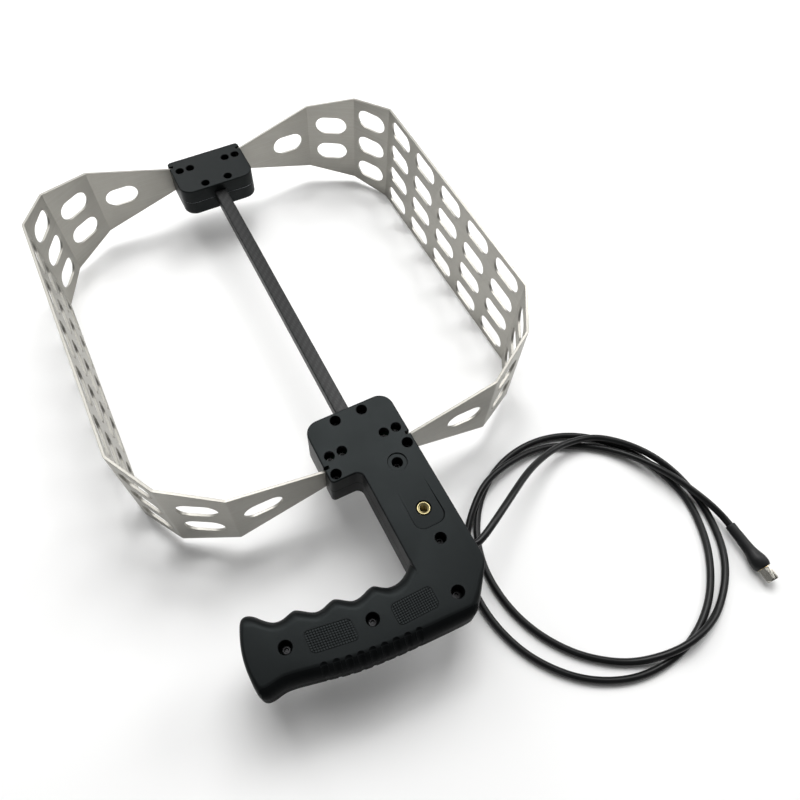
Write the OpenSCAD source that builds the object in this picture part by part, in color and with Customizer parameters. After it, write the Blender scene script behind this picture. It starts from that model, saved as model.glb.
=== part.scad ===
// Handheld directional loop antenna.
// Two slotted sheet-metal half loops run from a pistol-grip handle round to a
// tip block; a square tube joins the two blocks, and a coaxial cable leaves the
// handle's side wall and ends in a screw-on coaxial plug.
// The loop lies flat, resting on the lower edges of its two long sides.

/* [Loop elements] */
// Half width of the loop, to the middle of the strip
loop_half_w = 150; // [146:1:156]
// Length of the long straight side of each element
side_len = 208; // [204:2:214]
// Length of the flat next to the long side
corner_out_len = 36; // [35:0.5:38]
// Length of the next flat, towards the block
corner_in_len = 41.5; // [40:0.5:43]
// Sheet thickness
strip_t = 2; // [1.5:0.1:2.2]
// Half height of the strip along the long side
strip_h3 = 46; // [45:0.5:50]
// Half height at the second bend
strip_h2 = 41; // [40:0.5:44]
// Half height at the third bend
strip_h1 = 31; // [30:0.5:33]
// Half height where the strip ends inside a block
strip_h0 = 9.6; // [8:0.2:10]
// Slot length and height in the long side
side_slot = [31.5, 14.5]; // [12:0.5:33]
// Slot length and height in the other flats
slot = [27, 16.5]; // [14:0.5:27]

/* [Boom] */
// Outside width of the square tube
boom_w = 10; // [9:0.5:10]
// Wall of the square tube
boom_wall = 1; // [0.8:0.1:2]
// Distance from the loop's middle to the tube's end
boom_half = 141; // [136:0.5:141]

/* [Blocks] */
// Half width of the handle block and the tip block
block_half_w = 31.5; // [31:0.5:33]
// Half thickness of the handle
handle_half_t = 15; // [14.5:0.5:16]
// Half thickness of the tip block
tip_half_t = 12; // [12:0.5:14]
// Distance from the loop's middle to the blocks' inner faces
block_near = 121; // [119:0.5:123]
// Distance from the loop's middle to the tip block's far face
tip_far = 162.5; // [161:0.5:165]
// Chamfer along the blocks' edges
edge = 1; // [0.5:0.1:1.2]

/* [Screws] */
// Thread radius of the screws
screw_r = 1.45; // [1.4:0.01:1.46]
// Head radius of the screws
head_r = 2.75; // [2.5:0.05:2.9]
// Counterbore radius in the blocks
cb_r = 3.6; // [3.2:0.1:3.8]
// Counterbore radius in the grip
grip_cb_r = 4.1; // [3.8:0.1:4.4]
// Height of the screw seat above the parting plane
seat_z = 4; // [3:0.5:5]

/* [Tripod socket] */
// Outside radius of the brass insert
tripod_or = 4.5; // [4.2:0.1:4.8]
// Radius of the threaded hole
tripod_r = 2.6; // [2.55:0.05:2.8]
// Depth of the threaded hole
tripod_depth = 9; // [8:0.5:9]

/* [Cable and plug] */
// Cable outside diameter
cable_d = 5; // [4.6:0.1:5]
// Width across the flats of the coupling nut
nut_af = 8; // [7.9:0.1:8.4]
// Length of the coupling nut
nut_len = 9.6; // [9:0.1:10]

/* [Hidden] */
$fn = 48;

black = [0.16, 0.17, 0.17];
steel = [0.72, 0.71, 0.68];
brass_c = [0.80, 0.64, 0.30];

// ---- shared functions ------------------------------------------------------
function unit(v) = v / norm(v);
// Points on an arc about c, angles a0 to a1, as [x, y, inset x, inset y, drop].
// side is 1 on an outside corner and -1 on an inside corner.
function arc5(c, r, a0, a1, side, n = 6) =
  [for (i = [0:n]) let (a = a0 + (a1 - a0) * i / n)
    [c[0] + r * cos(a), c[1] + r * sin(a), -side * edge * cos(a), -side * edge * sin(a), edge]];
// Catmull-Rom curve through a list of points of any size, m steps a span.
function cr(p0, p1, p2, p3, f) = 0.5 * (2 * p1 + (p2 - p0) * f
  + (2 * p0 - 5 * p1 + 4 * p2 - p3) * f * f + (3 * p1 - p0 - 3 * p2 + p3) * f * f * f);
function at(p, i) = p[max(0, min(len(p) - 1, i))];
function curve(p, m) = concat([for (i = [0:len(p) - 2], k = [0:m - 1])
  cr(at(p, i - 1), p[i], p[i + 1], at(p, i + 2), k / m)], [p[len(p) - 1]]);
// One point of the curve at parameter t, counted in spans.
function on(p, t) = let (i = min(floor(t), len(p) - 2))
  cr(at(p, i - 1), at(p, i), at(p, i + 1), at(p, i + 2), t - i);

// ---- element geometry ------------------------------------------------------
y3 = side_len / 2;
x2 = loop_half_w - corner_out_len * sin(30);
y2 = y3 + corner_out_len * cos(30);
x1 = x2 - corner_in_len * cos(30);
y1 = y2 + corner_in_len * sin(30);
tab_in = 11;      // inner end of the tabs
strip_end = 27;   // where the upright strip ends inside a block
stations = [[strip_end, -y1, strip_h0], [x1, -y1, strip_h1], [x2, -y2, strip_h2],
  [loop_half_w, -y3, strip_h3], [loop_half_w, y3, strip_h3], [x2, y2, strip_h2],
  [x1, y1, strip_h1], [strip_end, y1, strip_h0]];
function flat_dir(i) = unit([stations[i + 1][0] - stations[i][0], stations[i + 1][1] - stations[i][1]]);
function flat_out(i) = let (d = flat_dir(i)) [d[1], -d[0]];
// Offset of a station to the outside face, along the mitre of its two flats.
function mitre(i) = i == 0 ? flat_out(0) : i == len(stations) - 1 ? flat_out(i - 1)
  : let (m = unit(flat_out(i - 1) + flat_out(i))) m / (m * flat_out(i));
function corner(i, k, z) = let (s = stations[i], m = mitre(i))
  [s[0] + k * m[0] * strip_t / 2, s[1] + k * m[1] * strip_t / 2, z * s[2]];
// Rows of slots on each flat: [middle along the flat, height, size].
f1_mid = 75.5 - strip_end;
flat_slots = [[[f1_mid, 0, slot]],
  [for (z = [-13.2, 13.2]) [corner_in_len / 2, z, slot]],
  [for (z = [-26.2, 0, 26.2]) [corner_out_len / 2, z, slot]],
  [for (c = [-2:2], r = [-1.5:1:1.5]) [side_len / 2 + c * 41, r * 22.9, side_slot]]];
function slots_of(i) = i < 4 ? flat_slots[i]
  : [for (s = flat_slots[6 - i]) [norm([stations[i + 1][0] - stations[i][0], stations[i + 1][1] - stations[i][1]]) - s[0], s[1], s[2]]];

// ---- screw places, loop-centred --------------------------------------------
pair_x = [15.5, 24.5];
pair_y = 149;
pairs = [for (sx = [-1, 1], x = pair_x) [sx * x, pair_y]];
boom_screw = [9.8, 126.8];
grip_e = [6.2, -263.5];
grip_a = 9.1;    // tilt of the grip
function gp(s, t) = [grip_e[0] - s * cos(grip_a) + t * sin(grip_a), grip_e[1] + s * sin(grip_a) + t * cos(grip_a)];
function gv(s, t) = [-s * cos(grip_a) + t * sin(grip_a), s * sin(grip_a) + t * cos(grip_a)];
block_screws = [[boom_screw[0], -boom_screw[1]], [-boom_screw[0], -boom_screw[1]],
  [-26, -162.5], [26, -162.5], [13.5, -172.2], [13.4, -229.8]];
grip_screws = [grip_e, gp(53, 0), gp(105, 0)];
case_places = concat(block_screws, grip_screws);
tripod_at = [13.6, -207.7];
exit_y = -239.4;    // where the cable leaves the right wall

// ---- handle outline, loop-centred ------------------------------------------
// Grip points are [along the grip, across it, inset along, inset across, drop].
function gpt(g) = concat(gp(g[0], g[1]), gv(g[2], g[3]), [g[4]]);
grip_front = [[23.5, 23.6, 0, -8.6, 9], [26, 21, 0, -8.6, 9], [29, 18.8, 0, -8.6, 9], [33, 17.2, 0, -8.6, 9], [38, 16.8, 0, -8.6, 9],
  [42, 18.3, 0, -8.3, 9], [46, 20.2, 0, -8, 9], [49.5, 19.6, 0, -8, 9], [53.5, 17.4, 0, -8, 9], [57, 16, 0, -8, 9],
  [60.5, 15.6, 0, -8, 9], [64, 16.8, 0, -8, 9], [67.5, 18.6, 0, -8, 9], [71, 19.8, 0, -8, 9], [74.5, 18.8, 0, -8, 9],
  [78.5, 16.8, 0, -8, 9], [82.5, 15.9, 0, -8, 9], [86.5, 16.8, 0, -8, 9], [90.5, 18.8, 0, -8.4, 9], [95, 20.6, 0, -8.8, 9],
  [98.5, 19.6, 0, -8.6, 9], [102.5, 17.8, 0, -8, 9], [106.5, 17.1, 0, -7.4, 8.5], [110, 18, 0, -7.6, 8.5], [114, 20.5, 0, -8, 8.5],
  [118, 23.7, 0, -8.4, 8.5], [121.5, 25.3, -0.4, -8.4, 8], [124.6, 25.1, -1.2, -7.6, 7], [126.8, 22.6, -2, -5.4, 5.5]];
grip_butt = [[128.2, 17, -2.4, -2.4, 4.4], [129.2, 10, -2.5, -1, 4], [129.5, 3, -2.5, 0, 4], [129, -4, -2.5, 0.8, 4],
  [127.9, -10.5, -2.5, 1.8, 4.2], [126.6, -16.5, -2.5, 4, 5], [125.2, -20.6, -2.2, 5.6, 6.5]];
grip_back = [[123, -22.4, -1.6, 7, 8], [120.3, -22.8, -0.6, 7.6, 9], [117, -22.1, 0, 7.6, 9], [113.5, -20.9, 0, 7.4, 9],
  [109, -20.1, 0, 7.4, 9], [102, -20.2, 0, 7.4, 9], [88, -21.1, 0, 7.4, 9], [69, -22.2, 0, 7.6, 9], [49, -21.3, 0, 7.6, 9],
  [28, -19.3, 0, 7.4, 9], [7, -16.9, 0, 7.2, 9], [-3.5, -15.3, 0, 6.6, 8.5]];
elbow = [[11.6, -277.9, -1.4, 5.6, 7.5], [15.2, -274.5, -3, 4, 6], [19, -269.8, -3, 2.6, 4.6], [24, -263.4, -2.4, 1.8, 3.2],
  [28.4, -257.6, -1.8, 1, 2], [30.8, -253.4, -1.2, 0.4, 1.2], [block_half_w, -249, -edge, 0, edge]];
neck_x = -10.5;
neck_end = -234.3;
lug_y = -167.5;
handle_outline = concat(
  arc5([block_half_w - 10, -block_near - 10], 10, 0, 90, 1),
  arc5([10 - block_half_w, -block_near - 10], 10, 90, 180, 1),
  arc5([3 - block_half_w, lug_y + 3], 3, 180, 270, 1, 4),
  arc5([neck_x - 5, lug_y - 5], 5, 90, 0, -1),
  [[neck_x, neck_end + 0.8, edge, 0, edge], [neck_x, neck_end, edge, -9.2, 9]],
  curve(concat([for (g = concat(grip_front, grip_butt, grip_back)) gpt(g)], elbow), 1));

// The half loop rests with its long sides' lower edges at height zero, and the
// object without its cable is centred on the origin in plan.
handle_back = min([for (p = handle_outline) p[1]]);
loop_y = -(tip_far + handle_back) / 2;
loop_z = strip_h3;
module place() translate([0, loop_y, loop_z]) children();

// Solid of one half: the outline from the parting plane up to a rounded or
// chamfered edge at z = h; steps is the number of bands round the edge. It is
// made a little too tall at both ends and trimmed by two flat cuts.
module half_body(outline, h, steps) difference() {
  too_tall(outline, h, steps);
  translate([-200, -400, -50]) cube([400, 700, 50]);
  translate([-200, -400, h]) cube([400, 700, 50]);
}
module too_tall(outline, h, steps) {
  n = len(outline);
  function ring(a, z) = [for (p = outline)
    [p[0] + p[2] * (1 - cos(a)), p[1] + p[3] * (1 - cos(a)), is_undef(z) ? h + 0.02 - p[4] * (1 - sin(a)) : z]];
  rings = concat([ring(0, -3)], [for (k = [0:steps]) ring(90 * k / steps)], [ring(90, h + 3)]);
  m = len(rings);
  polyhedron(points = [for (r = rings, p = r) p],
    faces = concat([[for (i = [0:n - 1]) i]], [[for (i = [n - 1:-1:0]) (m - 1) * n + i]],
      [for (k = [0:m - 2], i = [0:n - 1]) let (j = (i + 1) % n) [k * n + i, (k + 1) * n + i, (k + 1) * n + j]],
      [for (k = [0:m - 2], i = [0:n - 1]) let (j = (i + 1) % n) [k * n + i, (k + 1) * n + j, k * n + j]]));
}

// ---- swept tube: rings of k sides round a list of points -------------------
module tube(path, r, k, first, last) {
  n = len(path);
  dirs = [for (i = [0:n - 1]) i == 0 ? first : i == n - 1 ? last : unit(path[i + 1] - path[i - 1])];
  pts = [for (i = [0:n - 1]) let (d = dirs[i], a = unit(cross([0, 0, 1], d)), b = cross(d, a))
    for (j = [0:k - 1]) path[i] + r * (cos(360 * j / k) * a + sin(360 * j / k) * b)];
  polyhedron(points = pts, faces = concat(
    [[for (j = [k - 1:-1:0]) j]], [[for (j = [0:k - 1]) (n - 1) * k + j]],
    [for (i = [0:n - 2], j = [0:k - 1]) let (q = (j + 1) % k) [i * k + j, i * k + q, (i + 1) * k + q]],
    [for (i = [0:n - 2], j = [0:k - 1]) let (q = (j + 1) % k) [i * k + j, (i + 1) * k + q, (i + 1) * k + j]]));
}

// ---- elements --------------------------------------------------------------
module obround(size, h) {
  r = size[1] / 2;
  c = size[0] / 2 - r;
  union() {
    cube([2 * c, size[1], h], center = true);
    for (s = [-1, 1]) translate([s * c, 0, 0]) cylinder(r = r, h = h, center = true);
  }
}

module tab(y) {
  // flange that the screws clamp, folded inwards from the strip's end
  translate([tab_in, y > 0 ? y - 12.5 : y - strip_t / 2, -strip_t / 2]) cube([17, 12.5 + strip_t / 2, strip_t]);
}

module element() {
  n = len(stations);
  pts = [for (i = [0:n - 1], q = [[-1, -1], [1, -1], [1, 1], [-1, 1]]) corner(i, q[0], q[1])];
  difference() {
    union() {
      polyhedron(points = pts, faces = concat([[3, 2, 1, 0]], [[for (j = [0:3]) (n - 1) * 4 + j]],
        [for (i = [0:n - 2], j = [0:3]) let (q = (j + 1) % 4) [i * 4 + j, i * 4 + q, (i + 1) * 4 + q]],
        [for (i = [0:n - 2], j = [0:3]) let (q = (j + 1) % 4) [i * 4 + j, (i + 1) * 4 + q, (i + 1) * 4 + j]]));
      for (s = [-1, 1]) tab(s * y1);
    }
    for (i = [0:n - 2]) let (d = flat_dir(i), a = stations[i])
      for (q = slots_of(i)) translate([a[0] + q[0] * d[0], a[1] + q[0] * d[1], q[1]])
        rotate([0, 0, atan2(d[1], d[0])]) rotate([90, 0, 0]) obround(q[2], 4 * strip_t);
    for (s = [-1, 1], x = pair_x) translate([x, s * pair_y, -5]) cylinder(r = 1.7, h = 10);
  }
}

module right_element() color(steel) place() element();
module left_element() color(steel) place() mirror([1, 0, 0]) element();

module boom() color([0.15, 0.16, 0.16]) place() difference() {
  cube([boom_w, 2 * boom_half, boom_w], center = true);
  cube([boom_w - 2 * boom_wall, 2 * boom_half + 2, boom_w - 2 * boom_wall], center = true);
}

// ---- screws and inserts ----------------------------------------------------
module screw(seat, tip, head_h) {
  difference() {
    union() {
      translate([0, 0, tip]) cylinder(r = screw_r, h = seat - tip + 0.5);
      translate([0, 0, seat]) cylinder(r = head_r, h = head_h);
    }
    translate([0, 0, seat + head_h - 1.5]) cylinder(r = 1.44, h = 3, $fn = 6);
  }
}

// A screw on a flat washer and a spring washer.
module washer_screw(seat, tip) union() {
  screw(seat + 1.9, tip, 3);
  translate([0, 0, seat]) cylinder(r = 3, h = 0.8);
  translate([0, 0, seat + 0.4]) cylinder(r = 2.6, h = 1.7);
}

module insert(top, h) translate([0, 0, top - h]) difference() {
  cylinder(r = 2.3, h = h);
  translate([0, 0, -1]) cylinder(r = 1.5, h = h + 2);
}

module at_all(places) for (p = places) translate([p[0], p[1], 0]) children();
function flip_y(places) = [for (p = places) [p[0], -p[1]]];
tip_boom = [[boom_screw[0], boom_screw[1]], [-boom_screw[0], boom_screw[1]]];

module case_screws() color("#1c1d1e") place() at_all(case_places) screw(seat_z, -7, 3);
module case_inserts() color(brass_c) place() at_all(case_places) insert(-0.2, 6);
module feed_screws() color([0.78, 0.78, 0.76]) place() at_all(flip_y(pairs)) washer_screw(2.6, -6);
module feed_inserts() color(brass_c) place() at_all(flip_y(pairs)) insert(-1.2, 5.5);
module tip_case_screws() color("#1c1d1e") place() at_all(tip_boom) screw(3, -7, 3);
module tip_case_inserts() color(brass_c) place() at_all(tip_boom) insert(-0.2, 6);
module tip_screws() color("#2a2b2c") place() at_all(pairs) washer_screw(2.6, -6);
module tip_inserts() color(brass_c) place() at_all(pairs) insert(-1.2, 5.5);

// ---- handle shells ---------------------------------------------------------
grip_rot = 180 - grip_a;
post_r = 4.8;        // screw posts in the blocks
grip_post_r = 7;     // screw posts in the grip
tripod_post_r = 7;   // boss round the tripod insert
shell_posts = concat([for (p = block_screws) [p[0], p[1], post_r]], [for (p = grip_screws) [p[0], p[1], grip_post_r]]);

// Hollow of one half, from the parting plane up, with round posts
// [x, y, radius] left standing.
module handle_hollow(h, posts) translate([0, 0, -1]) linear_extrude(h + 1) difference() {
  union() {
    translate([-28.5, -160.5]) square([57, 18]);
    translate([-7, -252]) square([35, 93]);
    translate([grip_e[0], grip_e[1]]) rotate(grip_rot) translate([-3, -6.5]) square([124, 18]);
  }
  for (p = posts) translate([p[0], p[1]]) circle(r = p[2]);
}

// Room for the flat tabs over the posts that carry them.
module tab_room(y) translate([-28.4, y, -1]) cube([56.8, 14.7, 2]);

// Cuts that both halves share: boom socket, element slits, cable hole.
module handle_cuts() {
  translate([0, -block_near - 10, 0]) cube([boom_w + 0.1, 21, boom_w + 0.1], center = true);
  for (s = [-1, 1]) translate([s * (block_half_w - 1.6), -y1, 0]) cube([4, strip_t + 0.6, 60], center = true);
  translate([24, exit_y, 0]) rotate([0, 90, 0]) cylinder(r = 4, h = 12);
}

// Shallow sloped pocket round the tripod insert: flush at its far end.
module tripod_pocket() translate([tripod_at[0], -188, handle_half_t]) rotate([2.1, 0, 0])
  translate([0, 0, 0]) linear_extrude(3) union() {
    translate([-10.5, -26]) square([21, 34]);
    translate([-4, -32.5]) square([8, 30]);
    for (s = [-1, 1]) translate([s * 4, -26]) circle(r = 6.5);
  }

module handle_upper_shell() color(black) place() difference() {
  half_body(handle_outline, handle_half_t, 2);
  handle_hollow(handle_half_t - 3, concat(shell_posts, [[tripod_at[0], tripod_at[1], tripod_post_r]]));
  handle_cuts();
  tripod_pocket();
  translate([tripod_at[0], tripod_at[1], 4.4]) cylinder(r = tripod_or, h = 20);
  translate([13.5, -172.2, handle_half_t - 1]) cylinder(r = 6.5, h = 5);
  at_all(block_screws) { translate([0, 0, seat_z]) cylinder(r = cb_r, h = 20); translate([0, 0, -1]) cylinder(r = 1.7, h = 20); }
  at_all(grip_screws) { translate([0, 0, seat_z]) cylinder(r = grip_cb_r, h = 20); translate([0, 0, -1]) cylinder(r = 1.7, h = 20); }
  at_all(flip_y(pairs)) cylinder(r = cb_r - 0.2, h = 20);
}

module handle_lower_shell() color(black) place() mirror([0, 0, 1]) difference() {
  half_body(handle_outline, handle_half_t, 2);
  handle_hollow(handle_half_t - 3, concat(shell_posts, [for (p = flip_y(pairs)) [p[0], p[1], post_r]]));
  tab_room(-157.3);
  handle_cuts();
  at_all(case_places) { translate([0, 0, -1]) cylinder(r = 2.3, h = 7.2); translate([0, 0, 5]) cylinder(r = 1.7, h = 3.5); }
  at_all(flip_y(pairs)) { translate([0, 0, 0.5]) cylinder(r = 2.3, h = 6.2); translate([0, 0, 5]) cylinder(r = 1.7, h = 3); }
}

module tripod_insert() color(brass_c) place() translate([tripod_at[0], tripod_at[1], 0]) difference() {
  translate([0, 0, 4.4]) cylinder(r = tripod_or, h = 9.6);
  translate([0, 0, 14 - tripod_depth]) cylinder(r = tripod_r, h = 20);
}

// ---- feed point ------------------------------------------------------------
module board(y) difference() {
  translate([-28, y - 5.5, 1]) cube([56, 11, 1.6]);
  for (s = [-1, 1], x = pair_x) translate([s * x, sign(y) * pair_y, 0]) cylinder(r = 1.7, h = 4);
}
module feed_board() color("#2f6b46") place() board(-pair_y);

core_z = 3.3;
module balun_core() color("#3a3a3c") place() translate([0, -pair_y, core_z]) difference() {
  cylinder(r = 5.4, h = 4.4);
  translate([0, 0, -1]) cylinder(r = 2.8, h = 7);
}
module balun_winding() color("#a5562e") place() translate([0, -pair_y, 0])
  for (a = [0:45:315]) rotate([0, 0, a + 22.5]) translate([0, -0.3, 0]) difference() {
    translate([2.15, 0, core_z - 0.65]) cube([3.9, 0.6, 5.7]);
    translate([2.75, -1, core_z - 0.05]) cube([2.7, 3, 4.5]);
  }
module feed_leads() color("#c98b4a") place() for (s = [-1, 1])
  translate([s * 1.2, -157, 0.45]) rotate([-90, 0, 0]) cylinder(r = 0.5, h = 5.5);

// Cable end inside the handle, from the wall bush up to the feed board.
lead_route = [[35, exit_y, 0], [30, exit_y, 0], [25, exit_y, 0], [19, -239.3, 0], [12.5, -237.6, 0], [6.5, -233.6, 0], [2.8, -227.6, 0],
  [1.2, -220, 0], [0.6, -205, 0], [0.2, -185, 0], [0, -170, 0], [0, -161, 0], [0, -157, 0]];
module coax_inner_lead() color("#151617") place()
  tube([for (i = [0:24]) on(lead_route, i / 2)], cable_d / 2 - 0.05, 10, [-1, 0, 0], [0, 1, 0]);

// Bush in the right wall, clamped by its groove between the two shells.
module cable_grommet() color("#101112") place() translate([0, exit_y, 0]) rotate([0, 90, 0]) rotate_extrude()
  polygon([[2.52, 26.2], [5.4, 26.2], [5.4, 27.9], [3.96, 27.9], [3.96, block_half_w + 0.1], [5.2, block_half_w + 0.1],
    [4.9, block_half_w + 1.4], [3.8, 35], [2.52, 35]]);

// ---- tip block -------------------------------------------------------------
tip_outline = concat(
  arc5([block_half_w - 3, tip_far - 3], 3, 0, 90, 1, 4),
  arc5([3 - block_half_w, tip_far - 3], 3, 90, 180, 1, 4),
  arc5([10 - block_half_w, block_near + 10], 10, 180, 270, 1),
  arc5([block_half_w - 10, block_near + 10], 10, 270, 360, 1));
module tip_hollow(h, posts) translate([0, 0, -1]) linear_extrude(h + 1) difference() {
  translate([-28.5, 142.5]) square([57, 17]);
  for (p = posts) translate([p[0], p[1]]) circle(r = p[2]);
}
module tip_cuts() {
  translate([0, block_near + 10, 0]) cube([boom_w + 0.1, 21, boom_w + 0.1], center = true);
  for (s = [-1, 1]) translate([s * (block_half_w - 1.6), y1, 0]) cube([4, strip_t + 0.6, 60], center = true);
}
module tip_upper_shell() color(black) place() difference() {
  half_body(tip_outline, tip_half_t, 1);
  tip_hollow(tip_half_t - 2, []);
  tip_cuts();
  at_all(tip_boom) { translate([0, 0, 3]) cylinder(r = cb_r - 0.2, h = 20); translate([0, 0, -1]) cylinder(r = 1.7, h = 20); }
  at_all(pairs) cylinder(r = cb_r - 0.2, h = 20);
}
module tip_lower_shell() color(black) place() mirror([0, 0, 1]) difference() {
  half_body(tip_outline, tip_half_t, 1);
  tip_hollow(tip_half_t - 2, [for (p = pairs) [p[0], p[1], post_r]]);
  tab_room(142.6);
  tip_cuts();
  at_all(tip_boom) { translate([0, 0, -1]) cylinder(r = 2.3, h = 7.2); translate([0, 0, 5]) cylinder(r = 1.7, h = 3.5); }
  at_all(pairs) { translate([0, 0, 0.5]) cylinder(r = 2.3, h = 6.2); translate([0, 0, 5]) cylinder(r = 1.7, h = 3); }
}
module tip_board() color("#2f6b46") place() board(pair_y);
module load_resistor() color("#b9a27a") place() translate([0, pair_y, 4.4]) rotate([0, 90, 0]) rotate_extrude()
  polygon([[0, -4.6], [1.5, -4.6], [1.75, -4.2], [1.75, -2.6], [1.5, -2.2], [1.5, 2.2], [1.75, 2.6], [1.75, 4.2], [1.5, 4.6], [0, 4.6]]);

// ---- free cable ------------------------------------------------------------
// Route of the cable on the table, in the part's own frame, from the bush in
// the handle's wall to the plug: down to the table, twice round, then out.
exit_x = 35;
plug_x = 217.3;
plug_z = 6.5;
boot_y = -241.6;
route = [[exit_x, exit_y + loop_y, loop_z], [40, -180.4, 46], [47.5, -177, 45.5], [55.5, -172.9, 44.5], [72.5, -163.8, 40.5],
  [91.5, -153.4, 33], [103.5, -147.6, 28],
  [117, -142.4, 21.5], [132, -138.2, 15.5], [148, -136.8, 11], [169.5, -141, 8.8], [186, -153.6, 8.6], [198.5, -170, 8.6],
  [206.5, -188.5, 7.8], [211.5, -209, 4.2], [211.2, -228.5, 2.7], [203.5, -252.5, 2.7], [190.5, -270.2, 3], [170, -285.2, 4.6],
  [147.4, -291.9, 8.8], [126, -292.8, 7.8], [102.4, -287.2, 3.2], [84, -277.3, 2.7], [67, -262.3, 2.6], [53, -241, 2.6],
  [45.5, -217, 2.6], [45, -190, 2.6], [53, -165.5, 2.6], [70, -143.5, 2.6], [96, -127.2, 2.6], [126.5, -122, 2.6],
  [156, -129, 2.6], [180, -146.8, 2.6], [196, -170.5, 2.6], [204.5, -200, 2.6], [203, -224, 2.6], [192, -251.5, 2.6],
  [171, -276.3, 2.6], [143.5, -292, 2.6], [115, -296.9, 2.6], [87.5, -292.2, 2.6], [61, -277, 2.6], [40.5, -251.5, 2.6],
  [31, -222, 2.6], [31.5, -194, 2.8], [41.5, -170, 3.6], [54, -154, 6.4], [71, -140, 8.6], [87, -133.2, 8.8],
  [112.5, -129, 6], [136, -130.5, 3.2], [158, -139.8, 2.8], [177, -153.6, 3.8], [190.7, -170.9, 7.2], [201.5, -192, 10.4],
  [210.5, -215.5, 10.2], [214.8, -227.5, 8.4], [216.9, -235, 6.9], [plug_x, -241, plug_z], [plug_x, -249.5, plug_z], [plug_x, -258, plug_z]];
cable_rings = 80;
module coax_cable() color("#17181a")
  tube([for (i = [0:cable_rings - 1]) on(route, i * (len(route) - 1) / (cable_rings - 1))],
    cable_d / 2, 10, [1, 0, 0], [0, -1, 0]);

// ---- plug, along -Y from the boot's end ------------------------------------
plug_y = -276.5;
module on_plug() translate([plug_x, plug_y, plug_z]) rotate([90, 0, 0]) children();
boot_len = plug_y - boot_y;
module plug_boot() color("#141516") on_plug() rotate_extrude()
  polygon([[2.56, boot_len], [3.5, boot_len + 0.3], [3.8, boot_len + 1], [3.7, -14.5], [4.2, -12], [5.6, -8.5], [6.2, -6.6], [6.4, -5],
    [6.35, -2.2], [6, -0.6], [5.4, 0], [4.7, 0], [4.7, -7.5], [3.25, -11.5], [3.25, -18.3], [2.56, -18.3]]);
module crimp_ferrule() color(brass_c) on_plug() translate([0, 0, -18]) difference() {
  cylinder(r = 3.2, h = 6.4);
  translate([0, 0, -1]) cylinder(r = 2.56, h = 5.4);
  translate([0, 0, 3.6]) cylinder(r = 2.7, h = 6);
}
module plug_body() color(brass_c) on_plug() rotate_extrude()
  polygon([[0.7, -13.5], [2.65, -13.5], [2.65, -11.55], [3.1, -11.5], [4.6, -7.6], [4.6, 0.1], [2.7, 0.1], [2.7, 1.1], [2.42, 1.1], [2.42, 1.9],
    [2.7, 1.9], [2.7, 3.3], [2.3, 3.3], [2.3, 7.4], [2.06, 7.4], [2.06, -2], [0.7, -2]]);
module plug_dielectric() color("white") on_plug() difference() {
  translate([0, 0, -1.9]) cylinder(r = 2.04, h = 9.2);
  translate([0, 0, -3]) cylinder(r = 0.48, h = 14);
}
module plug_pin() color([0.86, 0.70, 0.33]) on_plug() rotate_extrude()
  polygon([[0, -13], [0.62, -13], [0.62, -2.1], [0.46, -2.1], [0.46, 8.4], [0.25, 9.1], [0, 9.1]]);
module nut_retaining_ring() color([0.75, 0.72, 0.6]) on_plug() translate([0, 0, 1.2]) difference() {
  cylinder(r = 2.98, h = 0.6);
  translate([0, 0, -1]) cylinder(r = 2.44, h = 3);
  translate([2.7, 0, 0]) cube([2, 0.6, 4], center = true);
}
module plug_gasket() color("#b5482e") on_plug() translate([0, 0, 3.3]) difference() {
  cylinder(r = 2.76, h = 0.7);
  translate([0, 0, -1]) cylinder(r = 2.34, h = 3);
}
module coupling_nut() color([0.80, 0.79, 0.74]) on_plug() difference() {
  intersection() {
    translate([0, 0, 0.3]) cylinder(r = nut_af / 2 / cos(30), h = nut_len, $fn = 6);
    rotate_extrude() polygon([[0, 0.3], [4.3, 0.3], [4.8, 0.8], [4.8, nut_len - 1.9], [4.05, nut_len - 0.5], [3.7, nut_len + 0.3], [0, nut_len + 0.3]]);
  }
  translate([0, 0, -1]) cylinder(r = 2.75, h = 6);
  translate([0, 0, 1.05]) cylinder(r = 3.08, h = 0.9);
  translate([0, 0, 2.9]) cylinder(r = 2.9, h = 12);
  translate([0, 0, 2.9]) cylinder(r = 3.2, h = 1.6);
}

left_element();
right_element();
boom();
handle_upper_shell();
handle_lower_shell();
case_screws();
case_inserts();
tripod_insert();
feed_board();
feed_screws();
feed_inserts();
balun_core();
balun_winding();
feed_leads();
coax_inner_lead();
cable_grommet();
tip_upper_shell();
tip_lower_shell();
tip_case_screws();
tip_case_inserts();
tip_board();
tip_screws();
tip_inserts();
load_resistor();
coax_cable();
plug_boot();
crimp_ferrule();
plug_body();
plug_dielectric();
plug_pin();
nut_retaining_ring();
plug_gasket();
coupling_nut();
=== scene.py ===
"""Looks of a handheld loop antenna lying on a pale table.

Lengths in the tables below are millimetres in the loop's own frame: X to the
right, Y along the boom towards the tip block, Z up from the loop's middle.
The cable's route and the plug are in the part's frame, which has its origin on
the table.
"""

import math

import bmesh
import bpy
from mathutils import Matrix, Vector
from mathutils.geometry import delaunay_2d_cdt


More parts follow.
